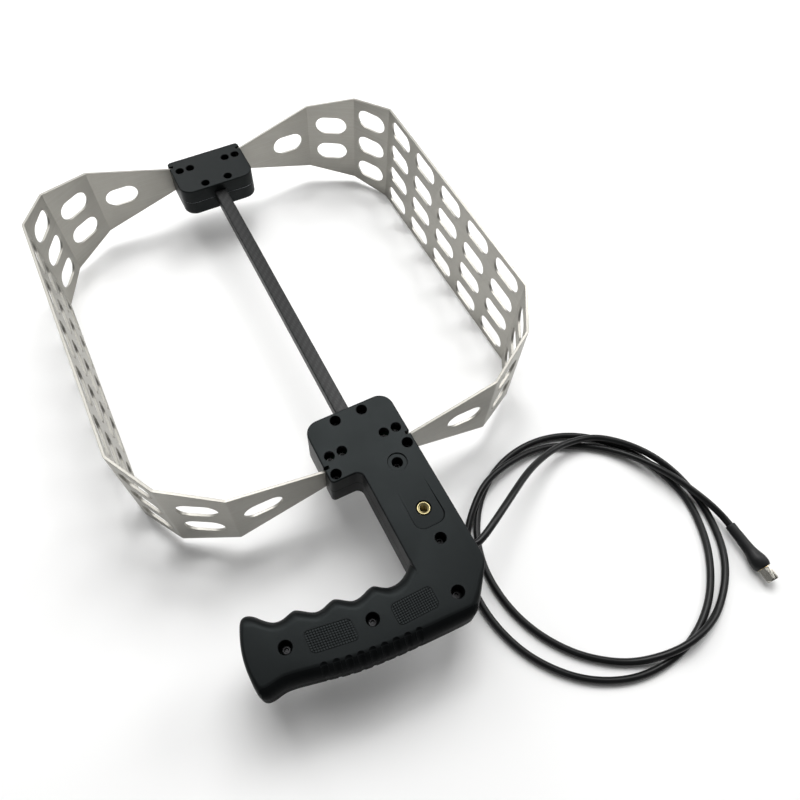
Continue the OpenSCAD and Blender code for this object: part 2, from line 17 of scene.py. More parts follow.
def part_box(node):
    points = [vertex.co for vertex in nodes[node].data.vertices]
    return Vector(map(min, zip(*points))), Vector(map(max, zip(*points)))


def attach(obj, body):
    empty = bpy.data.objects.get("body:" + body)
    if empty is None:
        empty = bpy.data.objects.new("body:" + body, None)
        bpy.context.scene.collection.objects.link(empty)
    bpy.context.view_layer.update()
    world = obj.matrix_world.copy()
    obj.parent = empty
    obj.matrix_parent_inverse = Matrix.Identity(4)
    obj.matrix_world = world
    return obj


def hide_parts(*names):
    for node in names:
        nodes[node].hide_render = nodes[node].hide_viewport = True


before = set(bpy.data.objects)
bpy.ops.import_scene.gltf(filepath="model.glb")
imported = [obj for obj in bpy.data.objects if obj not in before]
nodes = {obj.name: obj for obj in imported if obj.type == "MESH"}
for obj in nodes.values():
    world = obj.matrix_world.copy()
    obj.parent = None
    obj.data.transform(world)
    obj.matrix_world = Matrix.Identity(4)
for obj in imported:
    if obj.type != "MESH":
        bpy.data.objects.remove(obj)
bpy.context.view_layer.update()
scene = bpy.context.scene
MM = 0.001
_lo, _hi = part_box("boom")
LOOP_Y = (_lo.y + _hi.y) / 2 / MM
LOOP_Z = (_lo.z + _hi.z) / 2 / MM


# ---- camera ----------------------------------------------------------------
def make_camera():
    turn = Vector((2.57715, -0.61037, 0.19225))
    r = Matrix.Rotation(turn.length, 3, turn.normalized())
    right, down, ahead = r[0], r[1], r[2]
    m = Matrix((right, -down, -ahead)).transposed().to_4x4()
    m.translation = Vector((-91.708, -332.255 + LOOP_Y, 416.665 + LOOP_Z)) * MM
    data = bpy.data.cameras.new("photo_camera")
    data.sensor_fit = "HORIZONTAL"
    data.sensor_width = 36
    data.lens = 30.687
    data.shift_x = 0.02433
    data.shift_y = 0.02231
    data.clip_start = 0.01
    data.clip_end = 50
    cam = bpy.data.objects.new("photo_camera", data)
    cam.matrix_world = m
    scene.collection.objects.link(cam)
    scene.camera = cam


make_camera()


# ---- curves ----------------------------------------------------------------
def catmull(p0, p1, p2, p3, t):
    return [
        0.5 * (2 * b + (c - a) * t + (2 * a - 5 * b + 4 * c - d) * t * t + (3 * b - a - 3 * c + d) * t**3)
        for a, b, c, d in zip(p0, p1, p2, p3)
    ]


def through(points, step, dims=2):
    """A smooth line through points, with a point about every step."""
    n, out = len(points), []
    for i in range(n - 1):
        p0, p3 = points[max(0, i - 1)], points[min(n - 1, i + 2)]
        gap = math.dist(points[i][:dims], points[i + 1][:dims])
        m = max(1, math.ceil(gap / step))
        out += [catmull(p0, points[i], points[i + 1], p3, k / m) for k in range(m)]
    return out + [list(points[-1])]


# ---- mesh building ---------------------------------------------------------
def link(name, me):
    o = bpy.data.objects.new(name, me)
    scene.collection.objects.link(o)
    return o


def build(name, verts, faces, in_loop=True, keep=None):
    """A mesh object from millimetres. in_loop says that verts are in the loop's frame."""
    oy, oz = (LOOP_Y, LOOP_Z) if in_loop else (0, 0)
    me = bpy.data.meshes.new(name)
    me.from_pydata([(x * MM, (y + oy) * MM, (z + oz) * MM) for x, y, z in verts], [], faces)
    if keep is None:
        bm = bmesh.new()
        bm.from_mesh(me)
        bmesh.ops.remove_doubles(bm, verts=bm.verts, dist=1e-7)
        bmesh.ops.recalc_face_normals(bm, faces=bm.faces)
        bm.to_mesh(me)
        bm.free()
    me.update()
    return link(name, me)


def shade(o, degrees=32):
    """Smooth faces, with edges sharper than the angle kept crisp."""
    me = o.data
    bm = bmesh.new()
    bm.from_mesh(me)
    limit = math.radians(degrees)
    for f in bm.faces:
        f.smooth = True
    for e in bm.edges:
        e.smooth = len(e.link_faces) == 2 and e.calc_face_angle(0) < limit
    bm.to_mesh(me)
    bm.free()
    me.update()
    return o


def join(name, parts):
    """Several (verts, faces) in one list of each."""
    verts, faces = [], []
    for v, f in parts:
        b = len(verts)
        verts += v
        faces += [[b + i for i in q] for q in f]
    return verts, faces


def prism(points, z0, z1):
    """An upright solid on a list of [x, y], counter-clockwise."""
    n = len(points)
    v = [(x, y, z0) for x, y in points] + [(x, y, z1) for x, y in points]
    f = [list(range(n - 1, -1, -1)), list(range(n, 2 * n))]
    f += [[i, (i + 1) % n, n + (i + 1) % n, n + i] for i in range(n)]
    return v, f


def box(x0, x1, y0, y1, z0, z1):
    return prism([(x0, y0), (x1, y0), (x1, y1), (x0, y1)], z0, z1)


def turned(profile, n, centre=(0, 0)):
    """A closed solid of revolution about an upright axis; profile is a closed
    list of [radius, z], counter-clockwise seen with the radius to the right."""
    m = len(profile)
    v, f, first = [], [], []
    for r, z in profile:
        first.append(len(v))
        if r < 1e-6:
            v.append((centre[0], centre[1], z))
        else:
            v += [
                (centre[0] + r * math.cos(2 * math.pi * k / n), centre[1] + r * math.sin(2 * math.pi * k / n), z)
                for k in range(n)
            ]
    for i in range(m):
        j = (i + 1) % m
        a, b = profile[i][0] < 1e-6, profile[j][0] < 1e-6
        if a and b:
            continue
        for k in range(n):
            q = (k + 1) % n
            if a:
                f.append([first[i], first[j] + q, first[j] + k])
            elif b:
                f.append([first[i] + k, first[i] + q, first[j]])
            else:
                f.append([first[i] + k, first[i] + q, first[j] + q, first[j] + k])
    return v, f


def circle(c, r, n):
    return [(c[0] + r * math.cos(2 * math.pi * k / n), c[1] + r * math.sin(2 * math.pi * k / n)) for k in range(n)]


def rounded(x0, x1, y0, y1, r, n=6):
    """A rectangle with round corners, counter-clockwise."""
    out = []
    for cx, cy, a in ((x1 - r, y0 + r, -90), (x1 - r, y1 - r, 0), (x0 + r, y1 - r, 90), (x0 + r, y0 + r, 180)):
        out += [
            (cx + r * math.cos(math.radians(a + 90 * k / n)), cy + r * math.sin(math.radians(a + 90 * k / n)))
            for k in range(n + 1)
        ]
    return out


def cut(target, cutters, how="DIFFERENCE"):
    """Boolean of target with each cutter in turn; the cutters are used up."""
    for c in cutters:
        m = target.modifiers.new("cut", "BOOLEAN")
        m.operation = how
        m.solver = "EXACT"
        m.object = c
    dg = bpy.context.evaluated_depsgraph_get()
    me = bpy.data.meshes.new_from_object(target.evaluated_get(dg))
    target.modifiers.clear()
    old = target.data
    target.data = me
    bpy.data.meshes.remove(old)
    for c in cutters:
        old = c.data
        bpy.data.objects.remove(c)
        bpy.data.meshes.remove(old)
    bm = bmesh.new()
    bm.from_mesh(me)
    bmesh.ops.remove_doubles(bm, verts=bm.verts, dist=2e-7)
    bmesh.ops.dissolve_degenerate(bm, edges=bm.edges, dist=1e-7)
    rim = [e for e in bm.edges if len(e.link_faces) == 1]
    if rim:
        bmesh.ops.holes_fill(bm, edges=rim, sides=0)
        bmesh.ops.recalc_face_normals(bm, faces=bm.faces)
    bm.to_mesh(me)
    bm.free()
    return target


def finish_piece(o, body, slot, mats, *replaced):
    o.data.materials.clear()
    for m in mats if isinstance(mats, (list, tuple)) else [mats]:
        o.data.materials.append(m)
    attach(o, body)
    if replaced:
        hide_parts(*replaced)
    return o


# ---- materials -------------------------------------------------------------
class Nodes:
    """A node material with one Principled shader."""

    def __init__(self, name, **sockets):
        self.mat = bpy.data.materials.new(name)
        self.mat.use_nodes = True
        self.tree = self.mat.node_tree
        self.tree.nodes.clear()
        out = self.new("ShaderNodeOutputMaterial")
        self.bsdf = self.new("ShaderNodeBsdfPrincipled")
        self.tree.links.new(self.bsdf.outputs[0], out.inputs[0])
        for k, v in sockets.items():
            self.bsdf.inputs[k.replace("_", " ")].default_value = v
        self.coord = self.new("ShaderNodeTexCoord")

    def new(self, kind, **props):
        n = self.tree.nodes.new(kind)
        for k, v in props.items():
            setattr(n, k, v)
        return n

    def join(self, a, b):
        self.tree.links.new(a, b)

    def place(self, scale=(1, 1, 1), turn=(0, 0, 0), source="Object"):
        m = self.new("ShaderNodeMapping")
        m.inputs["Scale"].default_value = scale
        m.inputs["Rotation"].default_value = turn
        self.join(self.coord.outputs[source], m.inputs["Vector"])
        return m.outputs[0]

    def noise(self, scale, detail=3, rough=0.55, at=None, distort=0):
        n = self.new("ShaderNodeTexNoise")
        n.inputs["Scale"].default_value = scale
        n.inputs["Detail"].default_value = detail
        n.inputs["Roughness"].default_value = rough
        n.inputs["Distortion"].default_value = distort
        self.join(at if at is not None else self.coord.outputs["Object"], n.inputs["Vector"])
        return n.outputs["Fac"]

    def cells(self, scale, at=None, feature="F1"):
        n = self.new("ShaderNodeTexVoronoi", feature=feature)
        n.inputs["Scale"].default_value = scale
        self.join(at if at is not None else self.coord.outputs["Object"], n.inputs["Vector"])
        return n.outputs["Distance"]

    def ramp(self, fac, *stops):
        n = self.new("ShaderNodeValToRGB")
        e = n.color_ramp.elements
        while len(e) < len(stops):
            e.new(0.5)
        for el, (pos, col) in zip(e, stops):
            el.position = pos
            el.color = (*col, 1) if hasattr(col, "__len__") else (col, col, col, 1)
        self.join(fac, n.inputs[0])
        return n.outputs[0]

    def range(self, fac, a, b, lo=0.0, hi=1.0):
        n = self.new("ShaderNodeMapRange")
        n.inputs[1].default_value, n.inputs[2].default_value = lo, hi
        n.inputs[3].default_value, n.inputs[4].default_value = a, b
        self.join(fac, n.inputs[0])
        return n.outputs[0]

    def math(self, op, a, b=None, c=None):
        n = self.new("ShaderNodeMath", operation=op)
        for i, x in enumerate((a, b, c)):
            if x is None:
                continue
            if isinstance(x, (int, float)):
                n.inputs[i].default_value = x
            else:
                self.join(x, n.inputs[i])
        return n.outputs[0]

    def mix(self, fac, a, b, how="MIX"):
        n = self.new("ShaderNodeMix", data_type="RGBA", blend_type=how)
        for i, x in ((0, fac), (6, a), (7, b)):
            if isinstance(x, (int, float)):
                n.inputs[i].default_value = x
            elif isinstance(x, tuple):
                n.inputs[i].default_value = (*x, 1)
            else:
                self.join(x, n.inputs[i])
        return n.outputs[2]

    def bump(self, height, strength, distance, under=None):
        n = self.new("ShaderNodeBump")
        n.inputs["Strength"].default_value = strength
        n.inputs["Distance"].default_value = distance
        self.join(height, n.inputs["Height"])
        if under is not None:
            self.join(under, n.inputs["Normal"])
        return n.outputs[0]

    def set(self, socket, value):
        self.join(value, self.bsdf.inputs[socket])


def shell_plastic(name="shell_plastic", gloss=0.135, dull=0.0):
    """Black moulded plastic with a fine spark-eroded texture; dull makes it coarser."""
    m = Nodes(name, IOR=1.5, Specular_IOR_Level=gloss, Specular_Tint=(0.88, 0.99, 1.0, 1))
    grain = m.noise(2600, 4, 0.6)
    cloud = m.noise(38, 4, 0.6)
    m.set("Base Color", m.ramp(m.math("ADD", m.math("MULTIPLY", cloud, 0.65), m.math("MULTIPLY", grain, 0.35)),
                               (0.30, (0.0026, 0.0030, 0.0032)), (0.70, (0.0046, 0.0052, 0.0054))))
    m.set("Roughness", m.range(m.math("ADD", m.math("MULTIPLY", cloud, 0.5), m.math("MULTIPLY", grain, 0.5)), 0.36 + dull, 0.50 + dull, 0.3, 0.7))
    m.set("Normal", m.bump(grain, 0.35, 0.00006, m.bump(cloud, 0.05, 0.0003)))
    return m.mat


def sheet_metal():
    """Mill-finish sheet: cloudy, with faint rolling lines along the strip."""
    m = Nodes("sheet_metal", Metallic=1.0)
    uv = m.place((9, 1100, 1), source="UV")
    lines = m.noise(1, 3, 0.6, uv)
    cloud = m.noise(30, 5, 0.62)
    grain = m.noise(2400, 3, 0.6)
    both = m.math("ADD", m.math("MULTIPLY", cloud, 0.6), m.math("MULTIPLY", lines, 0.4))
    specks = m.range(m.cells(420), 1.0, 0.0, 0.035, 0.075)
    tone = m.ramp(both, (0.30, (0.300, 0.291, 0.265)), (0.52, (0.355, 0.345, 0.316)), (0.72, (0.411, 0.400, 0.367)))
    m.set("Base Color", m.mix(m.math("MULTIPLY", specks, 0.25), tone, (0.20, 0.194, 0.175)))
    m.set("Roughness", m.range(m.math("ADD", m.math("MULTIPLY", cloud, 0.5), m.math("MULTIPLY", grain, 0.5)), 0.36, 0.54, 0.3, 0.7))
    m.set("Normal", m.bump(grain, 0.12, 0.00004, m.bump(lines, 0.10, 0.00006)))
    return m.mat


def cut_edge_metal_and_highlight():
    """The cut edges of the sheet, with fine marks across them; their colour is far lighter than the flats', partly the
    fresh-cut metal's own tone and partly a painted highlight along the edges.
    """
    m = Nodes("cut_edge_metal_and_highlight", Metallic=1.0)
    marks = m.noise(1, 2, 0.5, m.place((1900, 1900, 120)))
    cloud = m.noise(60, 3, 0.55)
    # lighter than the flats: the cut metal's own tone plus a painted highlight along the sheet's edges
    m.set("Base Color", m.ramp(m.math("ADD", m.math("MULTIPLY", marks, 0.5), m.math("MULTIPLY", cloud, 0.5)),
                               (0.3, (0.70, 0.685, 0.64)), (0.7, (0.90, 0.885, 0.84))))
    m.set("Roughness", m.range(marks, 0.26, 0.44, 0.3, 0.7))
    m.set("Normal", m.bump(marks, 0.2, 0.00005))
    return m.mat


def carbon_twill():
    """Carbon fibre twill under a satin resin: tows 1.7 mm wide, two over and two under."""
    m = Nodes("carbon_twill", IOR=1.5, Specular_IOR_Level=0.15, Coat_Weight=0.07, Coat_Roughness=0.25)
    tow = 1.7 * MM
    sep = m.new("ShaderNodeSeparateXYZ")
    m.join(m.coord.outputs["UV"], sep.inputs[0])
    u = m.math("DIVIDE", sep.outputs[0], tow)
    v = m.math("DIVIDE", sep.outputs[1], tow)
    cell = m.math("ADD", m.math("FLOOR", u), m.math("FLOOR", v))
    four = m.math("FLOORED_MODULO", cell, 4.0)
    over = m.math("LESS_THAN", four, 1.5)
    fu = m.math("SUBTRACT", m.math("FRACT", u), 0.5)
    fv = m.math("SUBTRACT", m.math("FRACT", v), 0.5)
    crown_u = m.math("SUBTRACT", 1.0, m.math("MULTIPLY", m.math("MULTIPLY", fu, fu), 4.0))
    crown_v = m.math("SUBTRACT", 1.0, m.math("MULTIPLY", m.math("MULTIPLY", fv, fv), 4.0))
    warp = m.math("MULTIPLY", over, crown_u)
    weft = m.math("MULTIPLY", m.math("SUBTRACT", 1.0, over), crown_v)
    crown = m.math("ADD", warp, weft)
    fibre_a = m.noise(1, 2, 0.5, m.place((9000, 300, 1), source="UV"))
    fibre_b = m.noise(1, 2, 0.5, m.place((300, 9000, 1), source="UV"))
    fibre = m.math("ADD", m.math("MULTIPLY", over, fibre_a), m.math("MULTIPLY", m.math("SUBTRACT", 1.0, over), fibre_b))
    # painted sheen: the base colour is lighter on the warp tows and at each tow's crown, standing in for the weave's
    # directional reflections; the fibre streaks are the tows' own grain
    tone = m.math("ADD", m.math("MULTIPLY", over, 0.30), m.math("ADD", m.math("MULTIPLY", crown, 0.30), m.math("MULTIPLY", fibre, 0.40)))
    m.set("Base Color", m.ramp(tone, (0.10, (0.0034, 0.0036, 0.0036)), (0.55, (0.0080, 0.0084, 0.0084)), (0.95, (0.019, 0.0195, 0.0195))))
    m.set("Roughness", m.range(tone, 0.52, 0.36))
    m.set("Normal", m.bump(crown, 0.10, 0.00008))
    return m.mat


def cable_rubber():
    m = Nodes("cable_jacket", IOR=1.5, Specular_IOR_Level=0.25)
    cloud = m.noise(55, 4, 0.6)
    grain = m.noise(1700, 3, 0.55)
    m.set("Base Color", m.ramp(cloud, (0.3, (0.0034, 0.0036, 0.0038)), (0.7, (0.0062, 0.0065, 0.0068))))
    m.set("Roughness", m.range(m.math("ADD", m.math("MULTIPLY", cloud, 0.6), m.math("MULTIPLY", grain, 0.4)), 0.26, 0.40, 0.3, 0.7))
    m.set("Normal", m.bump(grain, 0.08, 0.00004))
    return m.mat


def matt_black(name, low, high, rough, scale, lift):
    m = Nodes(name, IOR=1.48, Specular_IOR_Level=0.28)
    cloud = m.noise(70, 4, 0.6)
    grain = m.noise(scale, 4, 0.6)
    m.set("Base Color", m.ramp(cloud, (0.3, low), (0.7, high)))
    m.set("Roughness", m.range(m.math("ADD", m.math("MULTIPLY", cloud, 0.5), m.math("MULTIPLY", grain, 0.5)), rough - 0.08, rough + 0.08, 0.3, 0.7))
    m.set("Normal", m.bump(grain, 0.25, lift))
    return m.mat


def bright_metal(name, low, high, rough, marks=(400, 400, 2600), metallic=1.0):
    """Turned or plated metal with fine tool marks round its axis."""
    m = Nodes(name, Metallic=metallic)
    turns = m.noise(1, 3, 0.6, m.place(marks))
    cloud = m.noise(190, 4, 0.6)
    m.set("Base Color", m.ramp(m.math("ADD", m.math("MULTIPLY", turns, 0.4), m.math("MULTIPLY", cloud, 0.6)), (0.3, low), (0.7, high)))
    m.set("Roughness", m.range(m.math("ADD", m.math("MULTIPLY", turns, 0.5), m.math("MULTIPLY", cloud, 0.5)), rough - 0.07, rough + 0.09, 0.3, 0.7))
    m.set("Normal", m.bump(turns, 0.10, 0.00003))
    return m.mat


def board_resist():
    """Glass laminate under green resist, with a faint weave."""
    m = Nodes("board_resist", IOR=1.5)
    a = m.noise(1, 2, 0.5, m.place((2600, 120, 120)))
    b = m.noise(1, 2, 0.5, m.place((120, 2600, 120)))
    weave = m.math("ADD", m.math("MULTIPLY", a, 0.5), m.math("MULTIPLY", b, 0.5))
    m.set("Base Color", m.ramp(weave, (0.35, (0.006, 0.050, 0.022)), (0.65, (0.012, 0.082, 0.036))))
    m.set("Roughness", m.range(weave, 0.28, 0.42, 0.3, 0.7))
    m.set("Normal", m.bump(weave, 0.1, 0.00004))
    return m.mat


def soft_white(name, low, high, rough):
    m = Nodes(name, IOR=1.4)
    cloud = m.noise(300, 4, 0.6)
    m.set("Base Color", m.ramp(cloud, (0.3, low), (0.7, high)))
    m.set("Roughness", m.range(cloud, rough - 0.07, rough + 0.07, 0.3, 0.7))
    return m.mat


M_SHELL = shell_plastic()
# painted sheen: a more reflective copy of the shell plastic that lightens the checkering's tops
M_CHECK_SHEEN = shell_plastic("checkering_painted_sheen", 0.22)
# painted shade: a rougher copy of the shell plastic with far weaker reflection, for the grip's back band
M_BACK_SHADED = shell_plastic("shell_plastic_back", 0.03, 0.12)
M_SHEET = sheet_metal()
M_EDGE = cut_edge_metal_and_highlight()
M_CARBON = carbon_twill()
M_CABLE = cable_rubber()
M_SHRINK = matt_black("heat_shrink", (0.0045, 0.0048, 0.0052), (0.0085, 0.0090, 0.0096), 0.46, 1400, 0.00006)
M_GROMMET = matt_black("grommet_rubber", (0.006, 0.006, 0.0064), (0.010, 0.010, 0.0105), 0.58, 2200, 0.00006)
M_FERRITE = matt_black("ferrite", (0.030, 0.030, 0.032), (0.055, 0.055, 0.058), 0.62, 3000, 0.00008)
M_BLACK_SCREW = bright_metal("black_oxide", (0.024, 0.024, 0.0255), (0.044, 0.044, 0.0455), 0.32, (900, 900, 900), 0.9)
M_ZINC_SCREW = bright_metal("bright_zinc", (0.34, 0.345, 0.35), (0.48, 0.48, 0.475), 0.24, (900, 900, 900))
M_BRASS = bright_metal("turned_brass", (0.39, 0.33, 0.165), (0.48, 0.42, 0.235), 0.38)
M_GOLD = bright_metal("gold_plating", (0.72, 0.52, 0.20), (0.84, 0.63, 0.28), 0.22, (400, 2600, 400))
M_NICKEL = bright_metal("nickel_plating", (0.34, 0.327, 0.292), (0.46, 0.447, 0.41), 0.17, (300, 2600, 300))
M_COPPER = bright_metal("enamelled_copper", (0.42, 0.15, 0.06), (0.60, 0.25, 0.11), 0.30, (900, 900, 900))
M_BOARD = board_resist()
# painted highlight: pale plastic for the strip along the tip block's parting line, standing in for light caught there
M_SEAM_HIGHLIGHT = soft_white("painted_seam_highlight", (0.16, 0.17, 0.18), (0.34, 0.36, 0.38), 0.45)
M_WHITE = soft_white("white_dielectric", (0.72, 0.72, 0.70), (0.84, 0.84, 0.82), 0.42)
M_RESISTOR = soft_white("resistor_lacquer", (0.42, 0.32, 0.18), (0.55, 0.43, 0.27), 0.35)
M_RED = soft_white("silicone_red", (0.30, 0.045, 0.022), (0.42, 0.075, 0.040), 0.50)


# ---- cable -----------------------------------------------------------------
PLUG_X, PLUG_Z = 217.3, 6.5
EXIT = (35.0, -239.4 + LOOP_Y, LOOP_Z)
ROUTE = [
    EXIT, (40, -180.4, 46), (47.5, -177, 45.5), (55.5, -172.9, 44.5), (72.5, -163.8, 40.5),
    (91.5, -153.4, 33), (103.5, -147.6, 28),
    (117, -142.4, 21.5), (132, -138.2, 15.5), (148, -136.8, 11), (169.5, -141, 8.8), (186, -153.6, 8.6), (198.5, -170, 8.6),
    (206.5, -188.5, 7.8), (211.5, -209, 4.2), (211.2, -228.5, 2.7), (203.5, -252.5, 2.7), (190.5, -270.2, 3), (170, -285.2, 4.6),
    (147.4, -291.9, 8.8), (126, -292.8, 7.8), (102.4, -287.2, 3.2), (84, -277.3, 2.7), (67, -262.3, 2.6), (53, -241, 2.6),
    (45.5, -217, 2.6), (45, -190, 2.6), (53, -165.5, 2.6), (70, -143.5, 2.6), (96, -127.2, 2.6), (126.5, -122, 2.6),
    (156, -129, 2.6), (180, -146.8, 2.6), (196, -170.5, 2.6), (204.5, -200, 2.6), (203, -224, 2.6), (192, -251.5, 2.6),
    (171, -276.3, 2.6), (143.5, -292, 2.6), (115, -296.6, 2.6), (87.5, -292.2, 2.6), (61, -277, 2.6), (40.5, -251.5, 2.6),
    (31, -222, 2.6), (31.5, -194, 2.8), (41.5, -170, 3.6), (54, -154, 6.4), (71, -140, 8.6), (87, -133.2, 8.8),
    (112.5, -129, 6), (136, -130.5, 3.2), (158, -139.8, 2.8), (177, -153.6, 3.8), (190.7, -170.9, 7.2), (201.5, -192, 10.4),
    (210.5, -215.5, 10.2), (214.8, -227.5, 8.4), (216.9, -235, 6.9), (PLUG_X, -241, PLUG_Z), (PLUG_X, -249.5, PLUG_Z), (PLUG_X, -258, PLUG_Z),
]


def make_cable():
    line = through(ROUTE, 2.5, 3)
    keep = 3
    for _ in range(9):
        inner = [
            [0.25 * a + 0.5 * b + 0.25 * c for a, b, c in zip(line[i - 1], line[i], line[i + 1])]
            for i in range(1, len(line) - 1)
        ]
        line = line[:keep] + inner[keep - 1:len(line) - 1 - keep] + line[len(line) - keep:]
    curve = bpy.data.curves.new("coax_cable_line", "CURVE")
    curve.dimensions = "3D"
    s = curve.splines.new("POLY")
    s.points.add(len(line) - 1)
    for p, (x, y, z) in zip(s.points, line):
        p.co = (x * MM, y * MM, max(z, 2.56) * MM, 1)
    s.use_smooth = True
    curve.bevel_depth = 2.5 * MM
    curve.bevel_resolution = 6
    curve.use_fill_caps = True
    o = bpy.data.objects.new("coax_cable_jacket", curve)
    scene.collection.objects.link(o)
    curve.materials.append(M_CABLE)
    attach(o, "root")
    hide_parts("coax_cable")
    return o


cable = make_cable()


# ---- elements --------------------------------------------------------------
Y3 = 104.0
X2, Y2 = 150 - 36 * math.sin(math.radians(30)), Y3 + 36 * math.cos(math.radians(30))
X1, Y1 = X2 - 41.5 * math.cos(math.radians(30)), Y2 + 41.5 * math.sin(math.radians(30))
SHEET_T = 2.0
BEND_R = 3.0      # to the middle of the sheet
BREAK = 0.22      # broken edge of the cut sheet
STATIONS = [(27, -Y1, 9.6), (X1, -Y1, 31), (X2, -Y2, 41), (150, -Y3, 46), (150, Y3, 46), (X2, Y2, 41), (X1, Y1, 31), (27, Y1, 9.6)]
SIDE_SLOT, SLOT = (31.5, 14.5), (27, 16.5)


def flat_len(i):
    return math.dist(STATIONS[i][:2], STATIONS[i + 1][:2])


def flat_slots(i):
    if i > 3:
        return [(flat_len(i) - s, z, q) for s, z, q in flat_slots(6 - i)]
    return [
        [(75.5 - 27, 0, SLOT)],
        [(41.5 / 2, z, SLOT) for z in (-13.2, 13.2)],
        [(36 / 2, z, SLOT) for z in (-26.2, 0, 26.2)],
        [(104 + c * 41, r * 22.9, SIDE_SLOT) for c in (-2, -1, 0, 1, 2) for r in (-1.5, -0.5, 0.5, 1.5)],
    ][i]


def obround(c, size, grow, n=16):
    r, half = size[1] / 2 + grow, size[0] / 2 - size[1] / 2
    out = []
    for sx, a in ((1, -90), (-1, 90)):
        out += [
            (c[0] + sx * half + r * math.cos(math.radians(a + 180 * k / n)), c[1] + r * math.sin(math.radians(a + 180 * k / n)))
            for k in range(n + 1)
        ]
    return out


def strip_path():
    """Stops along the strip: [run, x, y, outward x, outward y, half height]."""
    stops, run = [], 0.0
    trim = BEND_R * math.tan(math.radians(15))
    last = len(STATIONS) - 2
    starts = []
    for i in range(last + 1):
        a, b = STATIONS[i], STATIONS[i + 1]
        length = flat_len(i)
        d = ((b[0] - a[0]) / length, (b[1] - a[1]) / length)
        o = (d[1], -d[0])
        t0, t1 = (0 if i == 0 else trim), (0 if i == last else trim)
        starts.append((run, t0))
        for t in (t0, length - t1):
            f = t / length
            stops.append([run + t - t0, a[0] + d[0] * t, a[1] + d[1] * t, o[0], o[1], a[2] + (b[2] - a[2]) * f])
        run += length - t0 - t1
        if i < last:
            e = STATIONS[i + 2]
            length2 = flat_len(i + 1)
            d2 = ((e[0] - b[0]) / length2, (e[1] - b[1]) / length2)
            o2 = (d2[1], -d2[0])
            h0, h1 = stops[-1][5], b[2] + (e[2] - b[2]) * trim / length2
            end = (b[0] - d[0] * trim, b[1] - d[1] * trim)
            c = (end[0] - o[0] * BEND_R, end[1] - o[1] * BEND_R)
            a0, sweep, n = math.atan2(o[1], o[0]), math.atan2(o[0] * o2[1] - o[1] * o2[0], o[0] * o2[0] + o[1] * o2[1]), 7
            for k in range(1, n):
                w = a0 + sweep * k / n
                arc = abs(sweep) * BEND_R * k / n
                stops.append([run + arc, c[0] + BEND_R * math.cos(w), c[1] + BEND_R * math.sin(w), math.cos(w), math.sin(w), h0 + (h1 - h0) * k / n])
            run += abs(sweep) * BEND_R
    return stops, starts


def inside(p, ring):
    hit = False
    for (x0, y0), (x1, y1) in zip(ring, ring[1:] + ring[:1]):
        if (y0 > p[1]) != (y1 > p[1]) and p[0] < x0 + (p[1] - y0) * (x1 - x0) / (y1 - y0):
            hit = not hit
    return hit


def fill(rings, extra_edges=()):
    """Triangles of a flat area: rings[0] is its outline and the rest are holes."""
    pts, edges = [], []
    for r in rings:
        b = len(pts)
        pts += r
        edges += [(b + k, b + (k + 1) % len(r)) for k in range(len(r))]
    got = delaunay_2d_cdt([Vector(p) for p in pts], edges + list(extra_edges), [], 0, 1e-6)
    where = {}
    for new, olds in enumerate(got[3]):
        for old in olds:
            where[new] = old
    tris = []
    for f in got[2]:
        (x0, y0), (x1, y1), (x2, y2) = [got[0][i] for i in f]
        if abs((x1 - x0) * (y2 - y0) - (x2 - x0) * (y1 - y0)) < 2e-4:
            continue    # a sliver along a straight edge
        c = ((x0 + x1 + x2) / 3, (y0 + y1 + y2) / 3)
        if inside(c, rings[0]) and not any(inside(c, r) for r in rings[1:]):
            tris.append([where[i] for i in f])
    return pts, tris


def sheet(name, outer, outer_face, holes, holes_face, lines, place, thick):
    """A sheet with broken edges. outer and holes are rings [u, v] of the cut walls,
    outer_face and holes_face the same rings at the flat faces, and place(u, v, n) gives a point."""
    face_rings, wall_rings = [outer_face, *holes_face], [outer, *holes]
    pts, tris = fill(face_rings, lines)
    n = len(pts)
    wall = [p for r in wall_rings for p in r]
    half = thick / 2
    levels = [(pts, half), (wall, half - BREAK), (wall, -half + BREAK), (pts, -half)]
    verts = [place(u, v, w) for ring, w in levels for u, v in ring]
    uvs = [(u * MM, v * MM) for ring, w in levels for u, v in ring]
    faces, kinds = [], []
    for t in tris:
        faces.append(list(t))
        faces.append([3 * n + i for i in reversed(t)])
        kinds += [0, 0]
    b = 0
    for r in face_rings:
        m = len(r)
        for k in range(m):
            i, j = b + k, b + (k + 1) % m
            for lvl in range(3):
                faces.append([lvl * n + j, lvl * n + i, (lvl + 1) * n + i, (lvl + 1) * n + j])
                kinds.append(1)
        b += m
    return verts, faces, kinds, uvs


